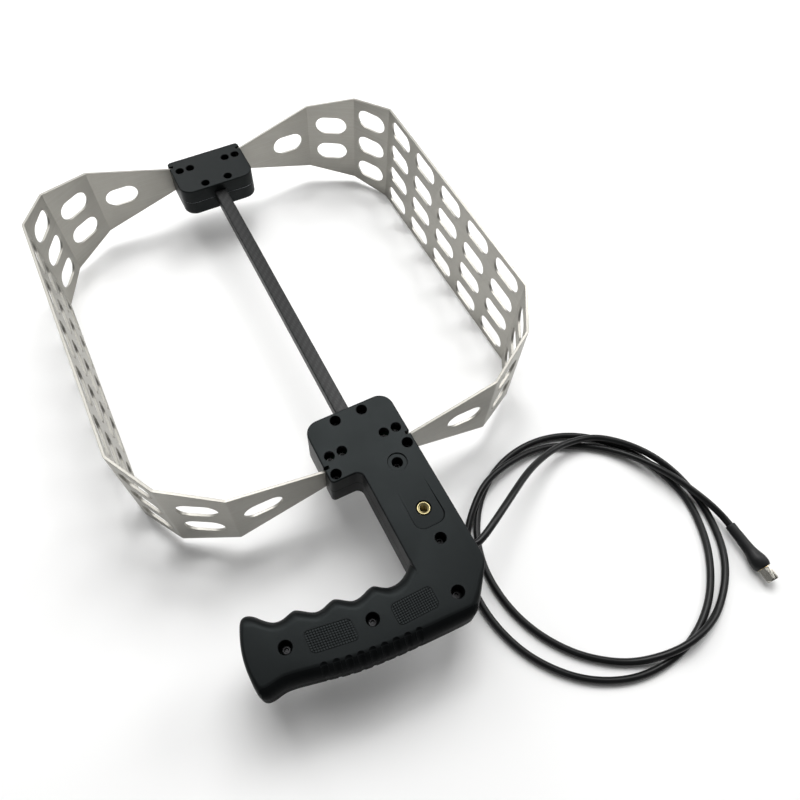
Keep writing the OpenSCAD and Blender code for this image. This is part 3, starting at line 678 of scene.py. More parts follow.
def make_element(name, side):
    stops, starts = strip_path()
    up = [(s[0], s[5]) for s in stops]
    total = stops[-1][0]

    def ring(grow):
        """The strip's outline, rolled flat."""
        out = []
        for k, s in enumerate(stops):
            u = s[0] + (grow if k == 0 else -grow if k == len(stops) - 1 else 0)
            out.append((u, -(s[5] - grow)))
        return out + [(u, -v) for u, v in reversed(out)]

    n = len(stops)
    lines = [(k, 2 * n - 1 - k) for k in range(1, n - 1)]
    holes, holes_face = [], []
    for i in range(len(STATIONS) - 1):
        run, t0 = starts[i]
        for s, z, size in flat_slots(i):
            holes.append(obround((run + s - t0, z), size, 0))
            holes_face.append(obround((run + s - t0, z), size, BREAK))

    def at(u, v, w):
        u = min(max(u, 0), total)
        for k in range(n - 1):
            if u <= stops[k + 1][0] + 1e-9:
                break
        a, b = stops[k], stops[k + 1]
        f = (u - a[0]) / (b[0] - a[0])
        x, y, ox, oy = (a[q] + (b[q] - a[q]) * f for q in (1, 2, 3, 4))
        q = w / math.hypot(ox, oy)
        return (side * (x + ox * q), y + oy * q, v)

    strip = sheet(name, ring(0), ring(BREAK), holes, holes_face, lines, at, SHEET_T)
    parts = [strip]
    for end in (-1, 1):
        y0, y1 = (-Y1 - 1, -Y1 + 11.5) if end < 0 else (Y1 - 11.5, Y1 + 1)
        parts.append(sheet(
            name, rounded(11, 28, y0, y1, 1.5), rounded(11 + BREAK, 28 - BREAK, y0 + BREAK, y1 - BREAK, 1.5 - BREAK),
            [circle((x, end * 149), 1.7, 24) for x in (15.5, 24.5)],
            [circle((x, end * 149), 1.7 + BREAK, 24) for x in (15.5, 24.5)],
            (), lambda u, v, w: (side * u, v, w * 0.98), SHEET_T))
    verts, faces, kinds, uvs = [], [], [], []
    for v, f, k, t in parts:
        b = len(verts)
        verts += v
        faces += [[b + i for i in q] for q in f]
        kinds += k
        uvs += t
    o = build(name, verts, faces, keep=True)
    me = o.data
    layer = me.uv_layers.new(name="run")
    for loop in me.loops:
        layer.data[loop.index].uv = uvs[loop.vertex_index]
    me.polygons.foreach_set("material_index", kinds)
    bm = bmesh.new()
    bm.from_mesh(me)
    bmesh.ops.recalc_face_normals(bm, faces=bm.faces)
    bm.to_mesh(me)
    bm.free()
    shade(o, 30)
    return o


for _name, _side in (("left_element", -1), ("right_element", 1)):
    finish_piece(make_element(_name + "_sheet", _side), "root", "element_metal", [M_SHEET, M_EDGE], _name)


# ---- boom ------------------------------------------------------------------
def make_boom():
    lo, hi = -141.0, 141.0
    outer = rounded(-5, 5, -5, 5, 0.9, 5)
    inner = rounded(-4, 4, -4, 4, 0.5, 5)
    n = len(outer)
    steps = 8
    ys = [lo + (hi - lo) * k / steps for k in range(steps + 1)]
    verts, uvs, faces = [], [], []
    run = [0.0]
    for a, b in zip(outer, outer[1:] + outer[:1]):
        run.append(run[-1] + math.dist(a, b))
    for ring in (outer, inner):
        for y in ys:
            verts += [(x, y, z) for x, z in ring]
    per = n * (steps + 1)
    loops_uv = []
    for s, flip in ((0, False), (1, True)):
        for k in range(steps):
            for i in range(n):
                j = (i + 1) % n
                q = [s * per + k * n + i, s * per + k * n + j, s * per + (k + 1) * n + j, s * per + (k + 1) * n + i]
                t = [(run[i], ys[k]), (run[i + 1], ys[k]), (run[i + 1], ys[k + 1]), (run[i], ys[k + 1])]
                faces.append(q if flip else q[::-1])
                loops_uv.append(t if flip else t[::-1])
    for k, flip in ((0, False), (steps, True)):
        for i in range(n):
            j = (i + 1) % n
            q = [k * n + i, k * n + j, per + k * n + j, per + k * n + i]
            t = [(run[i], 0), (run[i + 1], 0), (run[i + 1], 1), (run[i], 1)]
            faces.append(q[::-1] if flip else q)
            loops_uv.append(t[::-1] if flip else t)
    o = build("boom_tube", verts, faces, keep=True)
    layer = o.data.uv_layers.new(name="weave")
    flat = [uv for t in loops_uv for uv in t]
    for d, (u, v) in zip(layer.data, flat):
        d.uv = (u * MM, v * MM)
    shade(o, 40)
    return finish_piece(o, "root", "carbon_tube", M_CARBON, "boom")


make_boom()


# ---- handle ----------------------------------------------------------------
HALF_T, TIP_T, HALF_W, NEAR, TIP_FAR, EDGE = 15.0, 12.0, 31.5, 121.0, 162.5, 1.0
GRIP_E, GRIP_A = (6.2, -263.5), math.radians(9.1)
CA, SA = math.cos(GRIP_A), math.sin(GRIP_A)


def gv(s, t):
    return (-s * CA + t * SA, s * SA + t * CA)


def gp(s, t):
    x, y = gv(s, t)
    return (GRIP_E[0] + x, GRIP_E[1] + y)


def arc5(c, r, a0, a1, side, n):
    out = []
    for i in range(n + 1):
        a = math.radians(a0 + (a1 - a0) * i / n)
        out.append([c[0] + r * math.cos(a), c[1] + r * math.sin(a), -side * EDGE * math.cos(a), -side * EDGE * math.sin(a), EDGE])
    return out


# [along the grip, across it, inset along, inset across, drop of the rounded edge]
GRIP_FRONT = [
    (23.5, 23.6, 0, -8.6, 9), (26, 21, 0, -8.6, 9), (29, 18.8, 0, -8.6, 9), (33, 17.2, 0, -8.6, 9), (38, 16.8, 0, -8.6, 9),
    (42, 18.3, 0, -8.3, 9), (46, 20.2, 0, -8, 9), (49.5, 19.6, 0, -8, 9), (53.5, 17.4, 0, -8, 9), (57, 16, 0, -8, 9),
    (60.5, 15.6, 0, -8, 9), (64, 16.8, 0, -8, 9), (67.5, 18.6, 0, -8, 9), (71, 19.8, 0, -8, 9), (74.5, 18.8, 0, -8, 9),
    (78.5, 16.8, 0, -8, 9), (82.5, 15.9, 0, -8, 9), (86.5, 16.8, 0, -8, 9), (90.5, 18.8, 0, -8.4, 9), (95, 20.6, 0, -8.8, 9),
    (98.5, 19.6, 0, -8.6, 9), (102.5, 17.8, 0, -8, 9), (106.5, 17.1, 0, -7.4, 8.5), (110, 18, 0, -7.6, 8.5), (114, 20.5, 0, -8, 8.5),
    (118, 23.7, 0, -8.4, 8.5), (121.5, 25.3, -0.4, -8.4, 8), (124.6, 25.1, -1.2, -7.6, 7), (126.8, 22.6, -2, -5.4, 5.5),
]
GRIP_BUTT = [
    (128.2, 17, -2.4, -2.4, 4.4), (129.2, 10, -2.5, -1, 4), (129.5, 3, -2.5, 0, 4), (129, -4, -2.5, 0.8, 4),
    (127.9, -10.5, -2.5, 1.8, 4.2), (126.6, -16.5, -2.5, 4, 5), (125.2, -20.6, -2.2, 5.6, 6.5),
]
GRIP_BACK = [
    (123, -22.4, -1.6, 7, 8), (120.3, -22.8, -0.6, 7.6, 9), (117, -22.1, 0, 7.6, 9), (113.5, -20.9, 0, 7.4, 9),
    (109, -20.1, 0, 7.4, 9), (102, -20.2, 0, 7.4, 9), (88, -21.1, 0, 7.4, 9), (69, -22.2, 0, 7.6, 9), (49, -21.3, 0, 7.6, 9),
    (28, -19.3, 0, 7.4, 9), (7, -16.9, 0, 7.2, 9), (-3.5, -15.3, 0, 6.6, 8.5),
]
ELBOW = [
    [11.6, -277.9, -1.4, 5.6, 7.5], [15.2, -274.5, -3, 4, 6], [19, -269.8, -3, 2.6, 4.6], [24, -263.4, -2.4, 1.8, 3.2],
    [28.4, -257.6, -1.8, 1, 2], [30.8, -253.4, -1.2, 0.4, 1.2], [HALF_W, -249, -EDGE, 0, EDGE],
]
NECK_X, NECK_END, LUG_Y = -10.5, -234.3, -167.5


def handle_outline():
    grip = [[*gp(s, t), *gv(a, b), d] for s, t, a, b, d in GRIP_FRONT + GRIP_BUTT + GRIP_BACK]
    return (
        arc5((HALF_W - 10, -NEAR - 10), 10, 0, 90, 1, 14)
        + arc5((10 - HALF_W, -NEAR - 10), 10, 90, 180, 1, 14)
        + arc5((3 - HALF_W, LUG_Y + 3), 3, 180, 270, 1, 8)
        + arc5((NECK_X - 5, LUG_Y - 5), 5, 90, 0, -1, 10)
        + [[NECK_X, NECK_END + 0.8, EDGE, 0, EDGE], [NECK_X, NECK_END, EDGE, -9.2, 9]]
        + through(grip + ELBOW, 1.6)
    )


def half_body(name, outline, h, steps):
    """One half's outer solid, with a broken edge at the parting plane."""
    n = len(outline)
    rings = []
    lip = 0.2
    rings.append([(p[0] + p[2] / math.hypot(p[2], p[3]) * lip, p[1] + p[3] / math.hypot(p[2], p[3]) * lip, 0.0) for p in outline])
    rings.append([(p[0], p[1], lip) for p in outline])
    for k in range(steps + 1):
        a = math.pi / 2 * k / steps
        rings.append([(p[0] + p[2] * (1 - math.cos(a)), p[1] + p[3] * (1 - math.cos(a)), h - p[4] * (1 - math.sin(a))) for p in outline])
    verts = [p for r in rings for p in r]
    m = len(rings)
    faces = [list(range(n - 1, -1, -1)), [(m - 1) * n + i for i in range(n)]]
    for k in range(m - 1):
        for i in range(n):
            j = (i + 1) % n
            faces.append([k * n + i, k * n + j, (k + 1) * n + j, (k + 1) * n + i])
    return build(name, verts, faces)


PAIR_X, PAIR_Y = (15.5, 24.5), 149.0
PAIRS = [(sx * x, PAIR_Y) for sx in (-1, 1) for x in PAIR_X]
BLOCK_SCREWS = [(9.8, -126.8), (-9.8, -126.8), (-26, -162.5), (26, -162.5), (13.5, -172.2), (13.4, -229.8)]
GRIP_SCREWS = [GRIP_E, gp(53, 0), gp(105, 0)]
TRIPOD = (13.6, -207.7)
EXIT_Y = -239.4


def piece(name, parts):
    return build(name, *join(name, parts))


def handle_hollow(posts):
    a = piece("room", [box(-28.5, 28.5, -160.5, -142.5, -1, 12)])
    b = piece("room", [box(-7, 28, -252, -159, -1, 12)])
    ring = [(-3, -6.5), (121, -6.5), (121, 11.5), (-3, 11.5)]
    c = piece("room", [prism([gp(s, -t) for s, t in ring][::-1], -1, 12)])
    cut(a, [b, c], "UNION")
    return cut(a, [piece("posts", [prism(circle(p, r, 32), -2, 14) for p, r in posts])])


def well(c, r, seat, top, lip=0.35):
    """A counterbored screw hole with a broken rim."""
    return turned([(0, -2), (1.7, -2), (1.7, seat), (r, seat), (r, top - lip), (r + lip * 0.35, top - lip * 0.35), (r + lip, top), (r + lip + 0.6, top + 1.2), (0, top + 1.2)], 40, c)


def ringed_well(c, r, seat, top):
    return turned([(0, -2), (1.7, -2), (1.7, seat), (r, seat), (r, top - 1.3), (r + 0.3, top - 1), (6.25, top - 1), (6.5, top - 0.75), (6.5, top - 0.25), (6.72, top), (7.3, top + 1.2), (0, top + 1.2)], 56, c)


def shaft(c, r, low, top, lip=0.3):
    return turned([(0, low), (r, low), (r, top - lip), (r + lip * 0.35, top - lip * 0.35), (r + lip, top), (r + lip + 0.6, top + 1.2), (0, top + 1.2)], 40, c)


def along_x(v_f, x, y, z):
    """Turns a solid that stands on z to lie along X from x."""
    v, f = v_f
    return [(x + c, y + a, z + b) for a, b, c in v], f


# checkered panels on the grip: [corner points in plan], cells, and the way back to plan
PANELS = [
    {"at": lambda u, v: (-57.5 - u, -262.0 + 0.172 * u + v), "size": (28.1, 13.9), "cells": (17, 9)},
    {"at": lambda u, v: (-6.9 - u, -266.0 + v), "size": (27.1, 13.8), "cells": (17, 9)},
]


def ccw(points):
    area = sum(a[0] * b[1] - b[0] * a[1] for a, b in zip(points, points[1:] + points[:1]))
    return points if area > 0 else points[::-1]


def panel_recess(p, depth):
    ring = [p["at"](u, v) for u, v in rounded(0, p["size"][0], 0, p["size"][1], 3, 8)]
    return prism(ccw(ring), HALF_T - depth, HALF_T + 2)


def flutes(edge, flank):
    """Finger ribs: nine round-ended grooves over the grip's rounded back edge, deepest there and fading down the flank."""
    parts = []
    r, n = 2.7, 20
    back = [(s, t, i, d) for s, t, _, i, d in GRIP_BACK]
    for k in range(9):
        s = 29.3 + 7.175 * k
        for (s1, t1, i1, d1), (s0, t0, i0, d0) in zip(back, back[1:]):
            if s0 <= s <= s1:
                f = (s - s0) / (s1 - s0)
                t_b, inset, drop = t0 + (t1 - t0) * f, i0 + (i1 - i0) * f, d0 + (d1 - d0) * f
        line = []
        for a in [75 - 5 * q for q in range(16)]:
            x = min(1.0, max(0.0, (a - 8) / 47))
            deep = flank + (edge - flank) * x * x * (3 - 2 * x)
            a = math.radians(a)
            nx, nz = -drop * math.cos(a), inset * math.sin(a)
            q = math.hypot(nx, nz)
            line.append((t_b + inset * (1 - math.cos(a)) + nx / q * (r - deep), HALF_T - drop * (1 - math.sin(a)) + nz / q * (r - deep)))
        line.append((line[-1][0], -3.0))
        # round end ahead of the first point
        ax, az = line[0][0] - line[1][0], line[0][1] - line[1][1]
        q = math.hypot(ax, az)
        ax, az = ax / q, az / q
        stations = [(line[0][0] + ax * r * math.sin(b), line[0][1] + az * r * math.sin(b), r * math.cos(b)) for b in [math.radians(x) for x in (84, 70, 54, 36, 18)]]
        stations += [(t, z, r) for t, z in line]
        verts, faces = [], []
        for i, (t, z, rad) in enumerate(stations):
            a, b = stations[max(0, i - 1)], stations[min(len(stations) - 1, i + 1)]
            dx, dz = b[0] - a[0], b[1] - a[1]
            if i < 5:
                dx, dz = -ax, -az
            q = math.hypot(dx, dz)
            px, pz = -dz / q, dx / q
            for w in range(n):
                c, e = math.cos(2 * math.pi * w / n), math.sin(2 * math.pi * w / n)
                x, y = gp(s + rad * c, t + rad * e * px)
                verts.append((x, y, z + rad * e * pz))
        m = len(stations)
        faces.append(list(range(n)))
        faces.append([(m - 1) * n + w for w in range(n - 1, -1, -1)])
        for i in range(m - 1):
            for w in range(n):
                faces.append([i * n + (w + 1) % n, i * n + w, (i + 1) * n + w, (i + 1) * n + (w + 1) % n])
        parts.append((verts, faces))
    return parts


def sloped_pocket():
    """Shallow pocket round the tripod insert that runs out level towards the block."""
    low = rounded(-10.1, 10.1, -32.1, 8, 6.1, 10)
    high = rounded(-12.2, 12.2, -34.2, 10.1, 8.2, 10)
    tilt = math.radians(2.1)
    v, f = prism(low, 0, 3)
    v = v[:len(low)] + [(x, y, 3) for x, y in high]
    out = []
    for x, y, z in v:
        out.append((TRIPOD[0] + x, -188 + y * math.cos(tilt) - z * math.sin(tilt), HALF_T + y * math.sin(tilt) + z * math.cos(tilt)))
    return out, f


def shared_cuts(sign):
    """Boom socket, element slits and cable hole."""
    return [
        box(-5.05, 5.05, -141.5, -120.5, -5.05, 5.05),
        box(HALF_W - 3.6, HALF_W + 0.4, -Y1 - 1.3, -Y1 + 1.3, -30, 30),
        box(-HALF_W - 0.4, 3.6 - HALF_W, -Y1 - 1.3, -Y1 + 1.3, -30, 30),
        along_x(turned([(0, 0), (4, 0), (4, 12), (0, 12)], 40), 24, EXIT_Y, 0),
    ]


POSTS = [(p, 4.8) for p in BLOCK_SCREWS] + [(p, 7.0) for p in GRIP_SCREWS]


def mirror_z(o):
    """Turns a half made above the parting plane into the one below it."""
    for v in o.data.vertices:
        v.co.z = 2 * LOOP_Z * MM - v.co.z
    o.data.flip_normals()
    return o


def make_handle_upper():
    o = half_body("handle_upper_case", handle_outline(), HALF_T, 12)
    pairs = [(x, -y) for x, y in PAIRS]
    wells = [ringed_well(c, 3.6, 4, HALF_T) if c == (13.5, -172.2) else well(c, 3.6, 4, HALF_T) for c in BLOCK_SCREWS]
    wells += [well(c, 4.1, 4, HALF_T) for c in GRIP_SCREWS]
    wells += [shaft(c, 3.4, 0, HALF_T) for c in pairs]
    wells.append(turned([(0, 4.4), (4.5, 4.4), (4.5, 12.3), (5.1, 12.8), (5.1, 20), (0, 20)], 48, TRIPOD))
    wells += [panel_recess(p, 0.55) for p in PANELS]
    wells += flutes(1.2, 0.3)
    cut(o, [
        handle_hollow(POSTS + [(TRIPOD, 7.0)]),
        piece("cuts", shared_cuts(1) + [sloped_pocket()]),
        piece("wells", wells),
    ])
    return shade(o, 28)


def make_handle_lower():
    o = half_body("handle_lower_case", handle_outline(), HALF_T, 12)
    pairs = [(x, -y) for x, y in PAIRS]
    holes = [turned([(0, -1), (2.3, -1), (2.3, 6.2), (1.7, 6.2), (1.7, 8.5), (0, 8.5)], 32, c) for c in BLOCK_SCREWS + GRIP_SCREWS]
    holes += [turned([(0, 0.5), (2.3, 0.5), (2.3, 6.7), (1.7, 6.7), (1.7, 8), (0, 8)], 32, c) for c in pairs]
    holes += [panel_recess(p, 0.55) for p in PANELS]
    holes += flutes(0.4, 0.3)
    cut(o, [
        handle_hollow(POSTS + [(p, 4.4) for p in pairs]),
        piece("cuts", shared_cuts(-1)),
        piece("tabs", [box(-28.4, 28.4, -157.3, -142.6, -1, 1)]),
        piece("holes", holes),
    ])
    return shade(mirror_z(o), 28)


def coarsen_and_shade_back(o):
    """The grip's back, which lies in the palm, is textured coarser than the rest, and its plastic reflects far less:
    painted shade that darkens the back band.
    """
    o = finish_piece(o, "root", "shell", [M_SHELL, M_BACK_SHADED], o.name.replace("case", "shell"))
    for f in o.data.polygons:
        x, y = f.center.x / MM - GRIP_E[0], f.center.y / MM - LOOP_Y - GRIP_E[1]
        s, t = y * SA - x * CA, x * SA + y * CA
        if -9 < s < 124 and t < -9.5 and -(f.normal.x * SA + f.normal.y * CA) > 0.35:
            f.material_index = 1


coarsen_and_shade_back(make_handle_upper())
coarsen_and_shade_back(make_handle_lower())


def groove(p, a, b, wide, deep, top):
    """A V-shaped cutter from a to b on a panel."""
    length = math.dist(a, b)
    side = (-(b[1] - a[1]) / length, (b[0] - a[0]) / length)
    half = wide / 2 * (deep + 0.3) / deep
    v = []
    for u, w in (a, b):
        for k, z in ((-half, top + 0.3), (half, top + 0.3), (0, top - deep)):
            v.append((*p["at"](u + side[0] * k, w + side[1] * k), z))
    return v, [[0, 1, 2], [5, 4, 3], [0, 3, 4, 1], [1, 4, 5, 2], [2, 5, 3, 0]]


def make_panel(name, p, under):
    """Checkering: a pad with a narrow gap round it and two sets of V grooves over it."""
    (w, h), (nu, nv) = p["size"], p["cells"]
    gap, top = 0.34, HALF_T - 0.02
    pad = [
        [p["at"](u, v) for u, v in rounded(gap + k, w - gap - k, gap + k, h - gap - k, 2.7 - k, 8)] for k in (0, 0.12)
    ]
    n = len(pad[0])
    verts = [(x, y, HALF_T - 0.62) for x, y in pad[0]] + [(x, y, top - 0.12) for x, y in pad[0]] + [(x, y, top) for x, y in pad[1]]
    faces = [list(range(n - 1, -1, -1)), list(range(2 * n, 3 * n))]
    faces += [[k * n + i, k * n + (i + 1) % n, (k + 1) * n + (i + 1) % n, (k + 1) * n + i] for k in (0, 1) for i in range(n)]
    o = build(name, verts, faces)
    pu, pv = (w - 2 * gap) / nu, (h - 2 * gap) / nv
    cut(o, [piece("grooves", [groove(p, (gap + i * pu, -1), (gap + i * pu, h + 1), 0.50, 0.28, top) for i in range(1, nu)])])
    cut(o, [piece("grooves", [groove(p, (-1, gap + j * pv), (w + 1, gap + j * pv), 0.50, 0.28, top) for j in range(1, nv)])])
    if under:
        mirror_z(o)
    return finish_piece(shade(o, 20), "root", "shell", M_CHECK_SHEEN)


for _k, _p in enumerate(PANELS):
    make_panel(f"grip_checkering_{_k + 1}", _p, False)
    make_panel(f"grip_checkering_{_k + 3}", _p, True)


# ---- tip block -------------------------------------------------------------
def tip_outline():
    return (
        arc5((HALF_W - 3, TIP_FAR - 3), 3, 0, 90, 1, 8)
        + arc5((3 - HALF_W, TIP_FAR - 3), 3, 90, 180, 1, 8)
        + arc5((10 - HALF_W, NEAR + 10), 10, 180, 270, 1, 14)
        + arc5((HALF_W - 10, NEAR + 10), 10, 270, 360, 1, 14)
    )


def tip_room(posts):
    a = piece("room", [box(-28.5, 28.5, 142.5, 159.5, -1, 10)])
    return cut(a, [piece("posts", [prism(circle(p, 4.4, 32), -2, 12) for p in posts])]) if posts else a


def tip_cuts():
    return [
        box(-5.05, 5.05, 120.5, 141.5, -5.05, 5.05),
        box(HALF_W - 3.6, HALF_W + 0.4, Y1 - 1.3, Y1 + 1.3, -30, 30),
        box(-HALF_W - 0.4, 3.6 - HALF_W, Y1 - 1.3, Y1 + 1.3, -30, 30),
    ]


TIP_BOOM = [(9.8, 126.8), (-9.8, 126.8)]


def make_tip_upper():
    o = half_body("tip_upper_case", tip_outline(), TIP_T, 8)
    cut(o, [
        tip_room([]),
        piece("cuts", tip_cuts()),
        piece("wells", [well(c, 3.4, 3, TIP_T, 0.3) for c in TIP_BOOM] + [shaft(c, 3.4, 0, TIP_T) for c in PAIRS]),
    ])
    return shade(o, 28)


def make_tip_lower():
    o = half_body("tip_lower_case", tip_outline(), TIP_T, 8)
    holes = [turned([(0, -1), (2.3, -1), (2.3, 6.2), (1.7, 6.2), (1.7, 8.5), (0, 8.5)], 32, c) for c in TIP_BOOM]
    holes += [turned([(0, 0.5), (2.3, 0.5), (2.3, 6.7), (1.7, 6.7), (1.7, 8), (0, 8)], 32, c) for c in PAIRS]
    cut(o, [
        tip_room(PAIRS),
        piece("cuts", tip_cuts()),
        piece("tabs", [box(-28.4, 28.4, 142.6, 157.3, -1, 1)]),
        piece("holes", holes),
    ])
    return shade(mirror_z(o), 28)


finish_piece(make_tip_upper(), "root", "shell", M_SHELL, "tip_upper_shell")
finish_piece(make_tip_lower(), "root", "shell", M_SHELL, "tip_lower_shell")


def make_tip_seam_highlight():
    """A thin pale strip on the parting line where the tip block's halves meet, clear of the boom and the elements: a
    painted highlight standing in for the light caught along the halves' broken rims.
    """
    out = tip_outline()
    right_back, left_back, left_front, right_front = out[:9], out[9:18], out[18:33], out[33:]

    def stop(x, y, ix, iy):
        return [x, y, ix, iy, EDGE]

    runs = [
        [stop(HALF_W, Y1 + 1.5, -1, 0)] + right_back + left_back + [stop(-HALF_W, Y1 + 1.5, 1, 0)],
        [stop(-HALF_W, Y1 - 1.5, 1, 0)] + left_front + [stop(-5.3, NEAR, 0, 1)],
        [stop(5.3, NEAR, 0, 1)] + right_front + [stop(HALF_W, Y1 - 1.5, -1, 0)],
    ]
    parts = []
    for run in runs:
        v, f = [], []
        for x, y, ix, iy, _ in run:
            q = math.hypot(ix, iy)
            v += [(x + ix / q * d, y + iy / q * d, z) for d, z in ((0.5, -0.1), (0.06, -0.1), (0.0, 0), (0.06, 0.1), (0.5, 0.1))]
        for k in range(len(run) - 1):
            f += [[5 * k + i, 5 * k + (i + 1) % 5, 5 * k + 5 + (i + 1) % 5, 5 * k + 5 + i] for i in range(5)]
        f += [[4, 3, 2, 1, 0], [5 * (len(run) - 1) + i for i in range(5)]]
        parts.append((v, f))
    return finish_piece(shade(piece("tip_parting_painted_highlight", parts), 40), "root", "shell", M_SEAM_HIGHLIGHT)


make_tip_seam_highlight()


# ---- screws ----------------------------------------------------------------
def screw(c, seat, tip, head_h, turn):
    """A socket-head screw: knurl-free head with broken rims, hexagon socket, shank with a pointed end."""
    n, r, top = 48, 2.75, seat + head_h
    profile = [(0, tip), (1.1, tip), (1.45, tip + 0.4), (1.45, seat), (r - 0.12, seat), (r, seat + 0.15), (r, top - 0.5), (r - 0.1, top - 0.2), (r - 0.32, top - 0.04), (r - 0.5, top)]
    v, f, first = [], [], []
    for q, z in profile:
        first.append(len(v))
        v += [(c[0], c[1], z)] if q < 1e-6 else [(c[0] + q * math.cos(2 * math.pi * k / n), c[1] + q * math.sin(2 * math.pi * k / n), z) for k in range(n)]
    for i in range(len(profile) - 1):
        for k in range(n):
            m = (k + 1) % n
            f.append([first[i], first[i + 1] + m, first[i + 1] + k] if i == 0 else [first[i] + k, first[i] + m, first[i + 1] + m, first[i + 1] + k])

    def hexagon(radius, z):
        """n points on a hexagon, so that it meets the round rim point by point."""
        out = []
        for k in range(n):
            a = 2 * math.pi * k / n
            b = (a - turn) % (math.pi / 3) - math.pi / 6
            q = radius * math.cos(math.pi / 6) / math.cos(b)
            out.append((c[0] + q * math.cos(a), c[1] + q * math.sin(a), z))
        return out

    rows = [first[-1]]
    for radius, z in ((1.62, top), (1.46, top - 0.16), (1.44, top - 1.9)):
        rows.append(len(v))
        v += hexagon(radius, z)
    for a, b in zip(rows, rows[1:]):
        for k in range(n):
            m = (k + 1) % n
            f.append([a + k, a + m, b + m, b + k])
    v.append((c[0], c[1], top - 1.85))
    for k in range(n):
        f.append([rows[-1] + k, rows[-1] + (k + 1) % n, len(v) - 1])
    return v, f


def washers(c, z, turn):
    """A flat washer with a split spring washer on it."""
    flat = turned([(1.6, z), (2.88, z), (3.0, z + 0.12), (3.0, z + 0.68), (2.88, z + 0.8), (1.6, z + 0.8)], 44, c)
    n, v, f = 40, [], []
    for k in range(n + 1):
        a = turn + math.radians(6 + 348 * k / n)
        rise = z + 0.8 + 0.22 * k / n
        v += [(c[0] + r * math.cos(a), c[1] + r * math.sin(a), rise + dz)
              for r, dz in ((1.6, 0), (2.55, 0), (2.65, 0.1), (2.65, 0.78), (2.55, 0.88), (1.6, 0.88))]
    for k in range(n):
        f += [[6 * k + i, 6 * k + (i + 1) % 6, 6 * k + 6 + (i + 1) % 6, 6 * k + 6 + i] for i in range(6)]
    f += [[5, 4, 3, 2, 1, 0], [6 * n + i for i in range(6)]]
    return [flat, (v, f)]


def make_screws(name, places, seat, head_h, tip, mat, slot, node, washer_z=None):
    parts = []
    for k, c in enumerate(places):
        parts.append(screw(c, seat, tip, head_h, 0.35 + 0.61 * k))
        if washer_z is not None:
            parts += washers(c, washer_z, 0.8 + 1.3 * k)
    finish_piece(shade(piece(name, parts), 30), "root", slot, mat, node)


make_screws("handle_case_screws", BLOCK_SCREWS + GRIP_SCREWS, 4, 3, -7, M_BLACK_SCREW, "screw_black", "case_screws")
make_screws("handle_feed_screws", [(x, -y) for x, y in PAIRS], 4.5, 3, -6, M_ZINC_SCREW, "screw_bright", "feed_screws", 2.6)
make_screws("tip_case_socket_screws", TIP_BOOM, 3, 3, -7, M_BLACK_SCREW, "screw_black", "tip_case_screws")
make_screws("tip_tab_screws", PAIRS, 4.5, 3, -6, M_BLACK_SCREW, "screw_black", "tip_screws", 2.6)


# ---- threads ---------------------------------------------------------------
def thread_rod(r_crest, r_root, pitch, z0, z1, n=48, per=8):
    """The air inside a threaded hole, as a closed solid."""
    rows = max(2, round((z1 - z0) / pitch * per))
    v, f = [], []
    for i in range(rows + 1):
        z = z0 + (z1 - z0) * i / rows
        for k in range(n):
            a = 2 * math.pi * k / n
            p = (z / pitch - k / n) % 1.0
            q = r_crest + (r_root - r_crest) * min(1.0, max(0.0, 1.25 - 2.5 * abs(p - 0.5) * 1.0 - 0.0) if abs(p - 0.5) > 0.1 else 1.0)
            v.append((q * math.cos(a), q * math.sin(a), z))
    for i in range(rows):
        for k in range(n):
            m = (k + 1) % n
            f.append([i * n + k, i * n + m, (i + 1) * n + m, (i + 1) * n + k])
    f.append(list(range(n - 1, -1, -1)))
    f.append([rows * n + k for k in range(n)])
    return v, f


def make_tripod_insert():
    """Brass insert with a knurled body and a quarter-inch camera thread."""
    n, v, f = 96, [], []
    rows = [(0, 4.4), (4.1, 4.4), (4.42, 4.75), (4.5, 5.0), (4.5, 12.9), (4.3, 13.15), (4.3, 13.3), (4.45, 13.45), (4.4, 13.66), (4.12, 13.95), (4.0, 14.0), (0, 14.0)]
    o = build("tripod_brass_insert", *turned(rows, n))
    for vert in o.data.vertices:
        x, y, z = vert.co.x / MM, vert.co.y / MM - LOOP_Y, vert.co.z / MM - LOOP_Z
        r = math.hypot(x, y)
        if r > 4.45 and 4.9 < z < 13:
            k = round(math.atan2(y, x) / (2 * math.pi / n))
            if k % 2:
                vert.co.x, vert.co.y = x * 4.32 / r * MM, (y * 4.32 / r + LOOP_Y) * MM
    cut(o, [
        build("thread", *thread_rod(2.6, 3.17, 1.27, 5.0, 15.0)),
        build("mouth", *turned([(0, 13.3), (2.9, 13.3), (3.45, 13.85), (3.7, 14.0), (4.3, 14.6), (0, 14.6)], 64)),
    ])
    for vert in o.data.vertices:
        vert.co.x += TRIPOD[0] * MM
        vert.co.y += TRIPOD[1] * MM
    return finish_piece(shade(o, 34), "root", "brass_insert", M_BRASS, "tripod_insert")


make_tripod_insert()


# ---- bush at the cable's exit ----------------------------------------------
def make_grommet():
    profile = [(2.52, 26.2), (5.2, 26.2), (5.4, 26.4), (5.4, 27.7), (5.2, 27.9), (3.96, 27.9), (3.96, 31.6), (4.9, 31.6), (5.2, 31.75), (5.25, 32.2),
               (5.05, 32.8), (4.6, 33.4), (4.2, 34.1), (3.9, 34.7), (3.55, 34.95), (2.9, 35.0), (2.52, 34.8)]
    o = piece("cable_bush", [along_x(turned(profile, 56), 0, EXIT_Y, 0)])
    return finish_piece(shade(o, 40), "root", "grommet", M_GROMMET, "cable_grommet")


make_grommet()


# ---- plug ------------------------------------------------------------------
PLUG_Y = -276.5


def on_plug(v_f):
    """From a solid standing on z to the plug's axis, which runs along -Y."""
    v, f = v_f
    return [(PLUG_X + x, PLUG_Y - z, PLUG_Z + y) for x, y, z in v], f


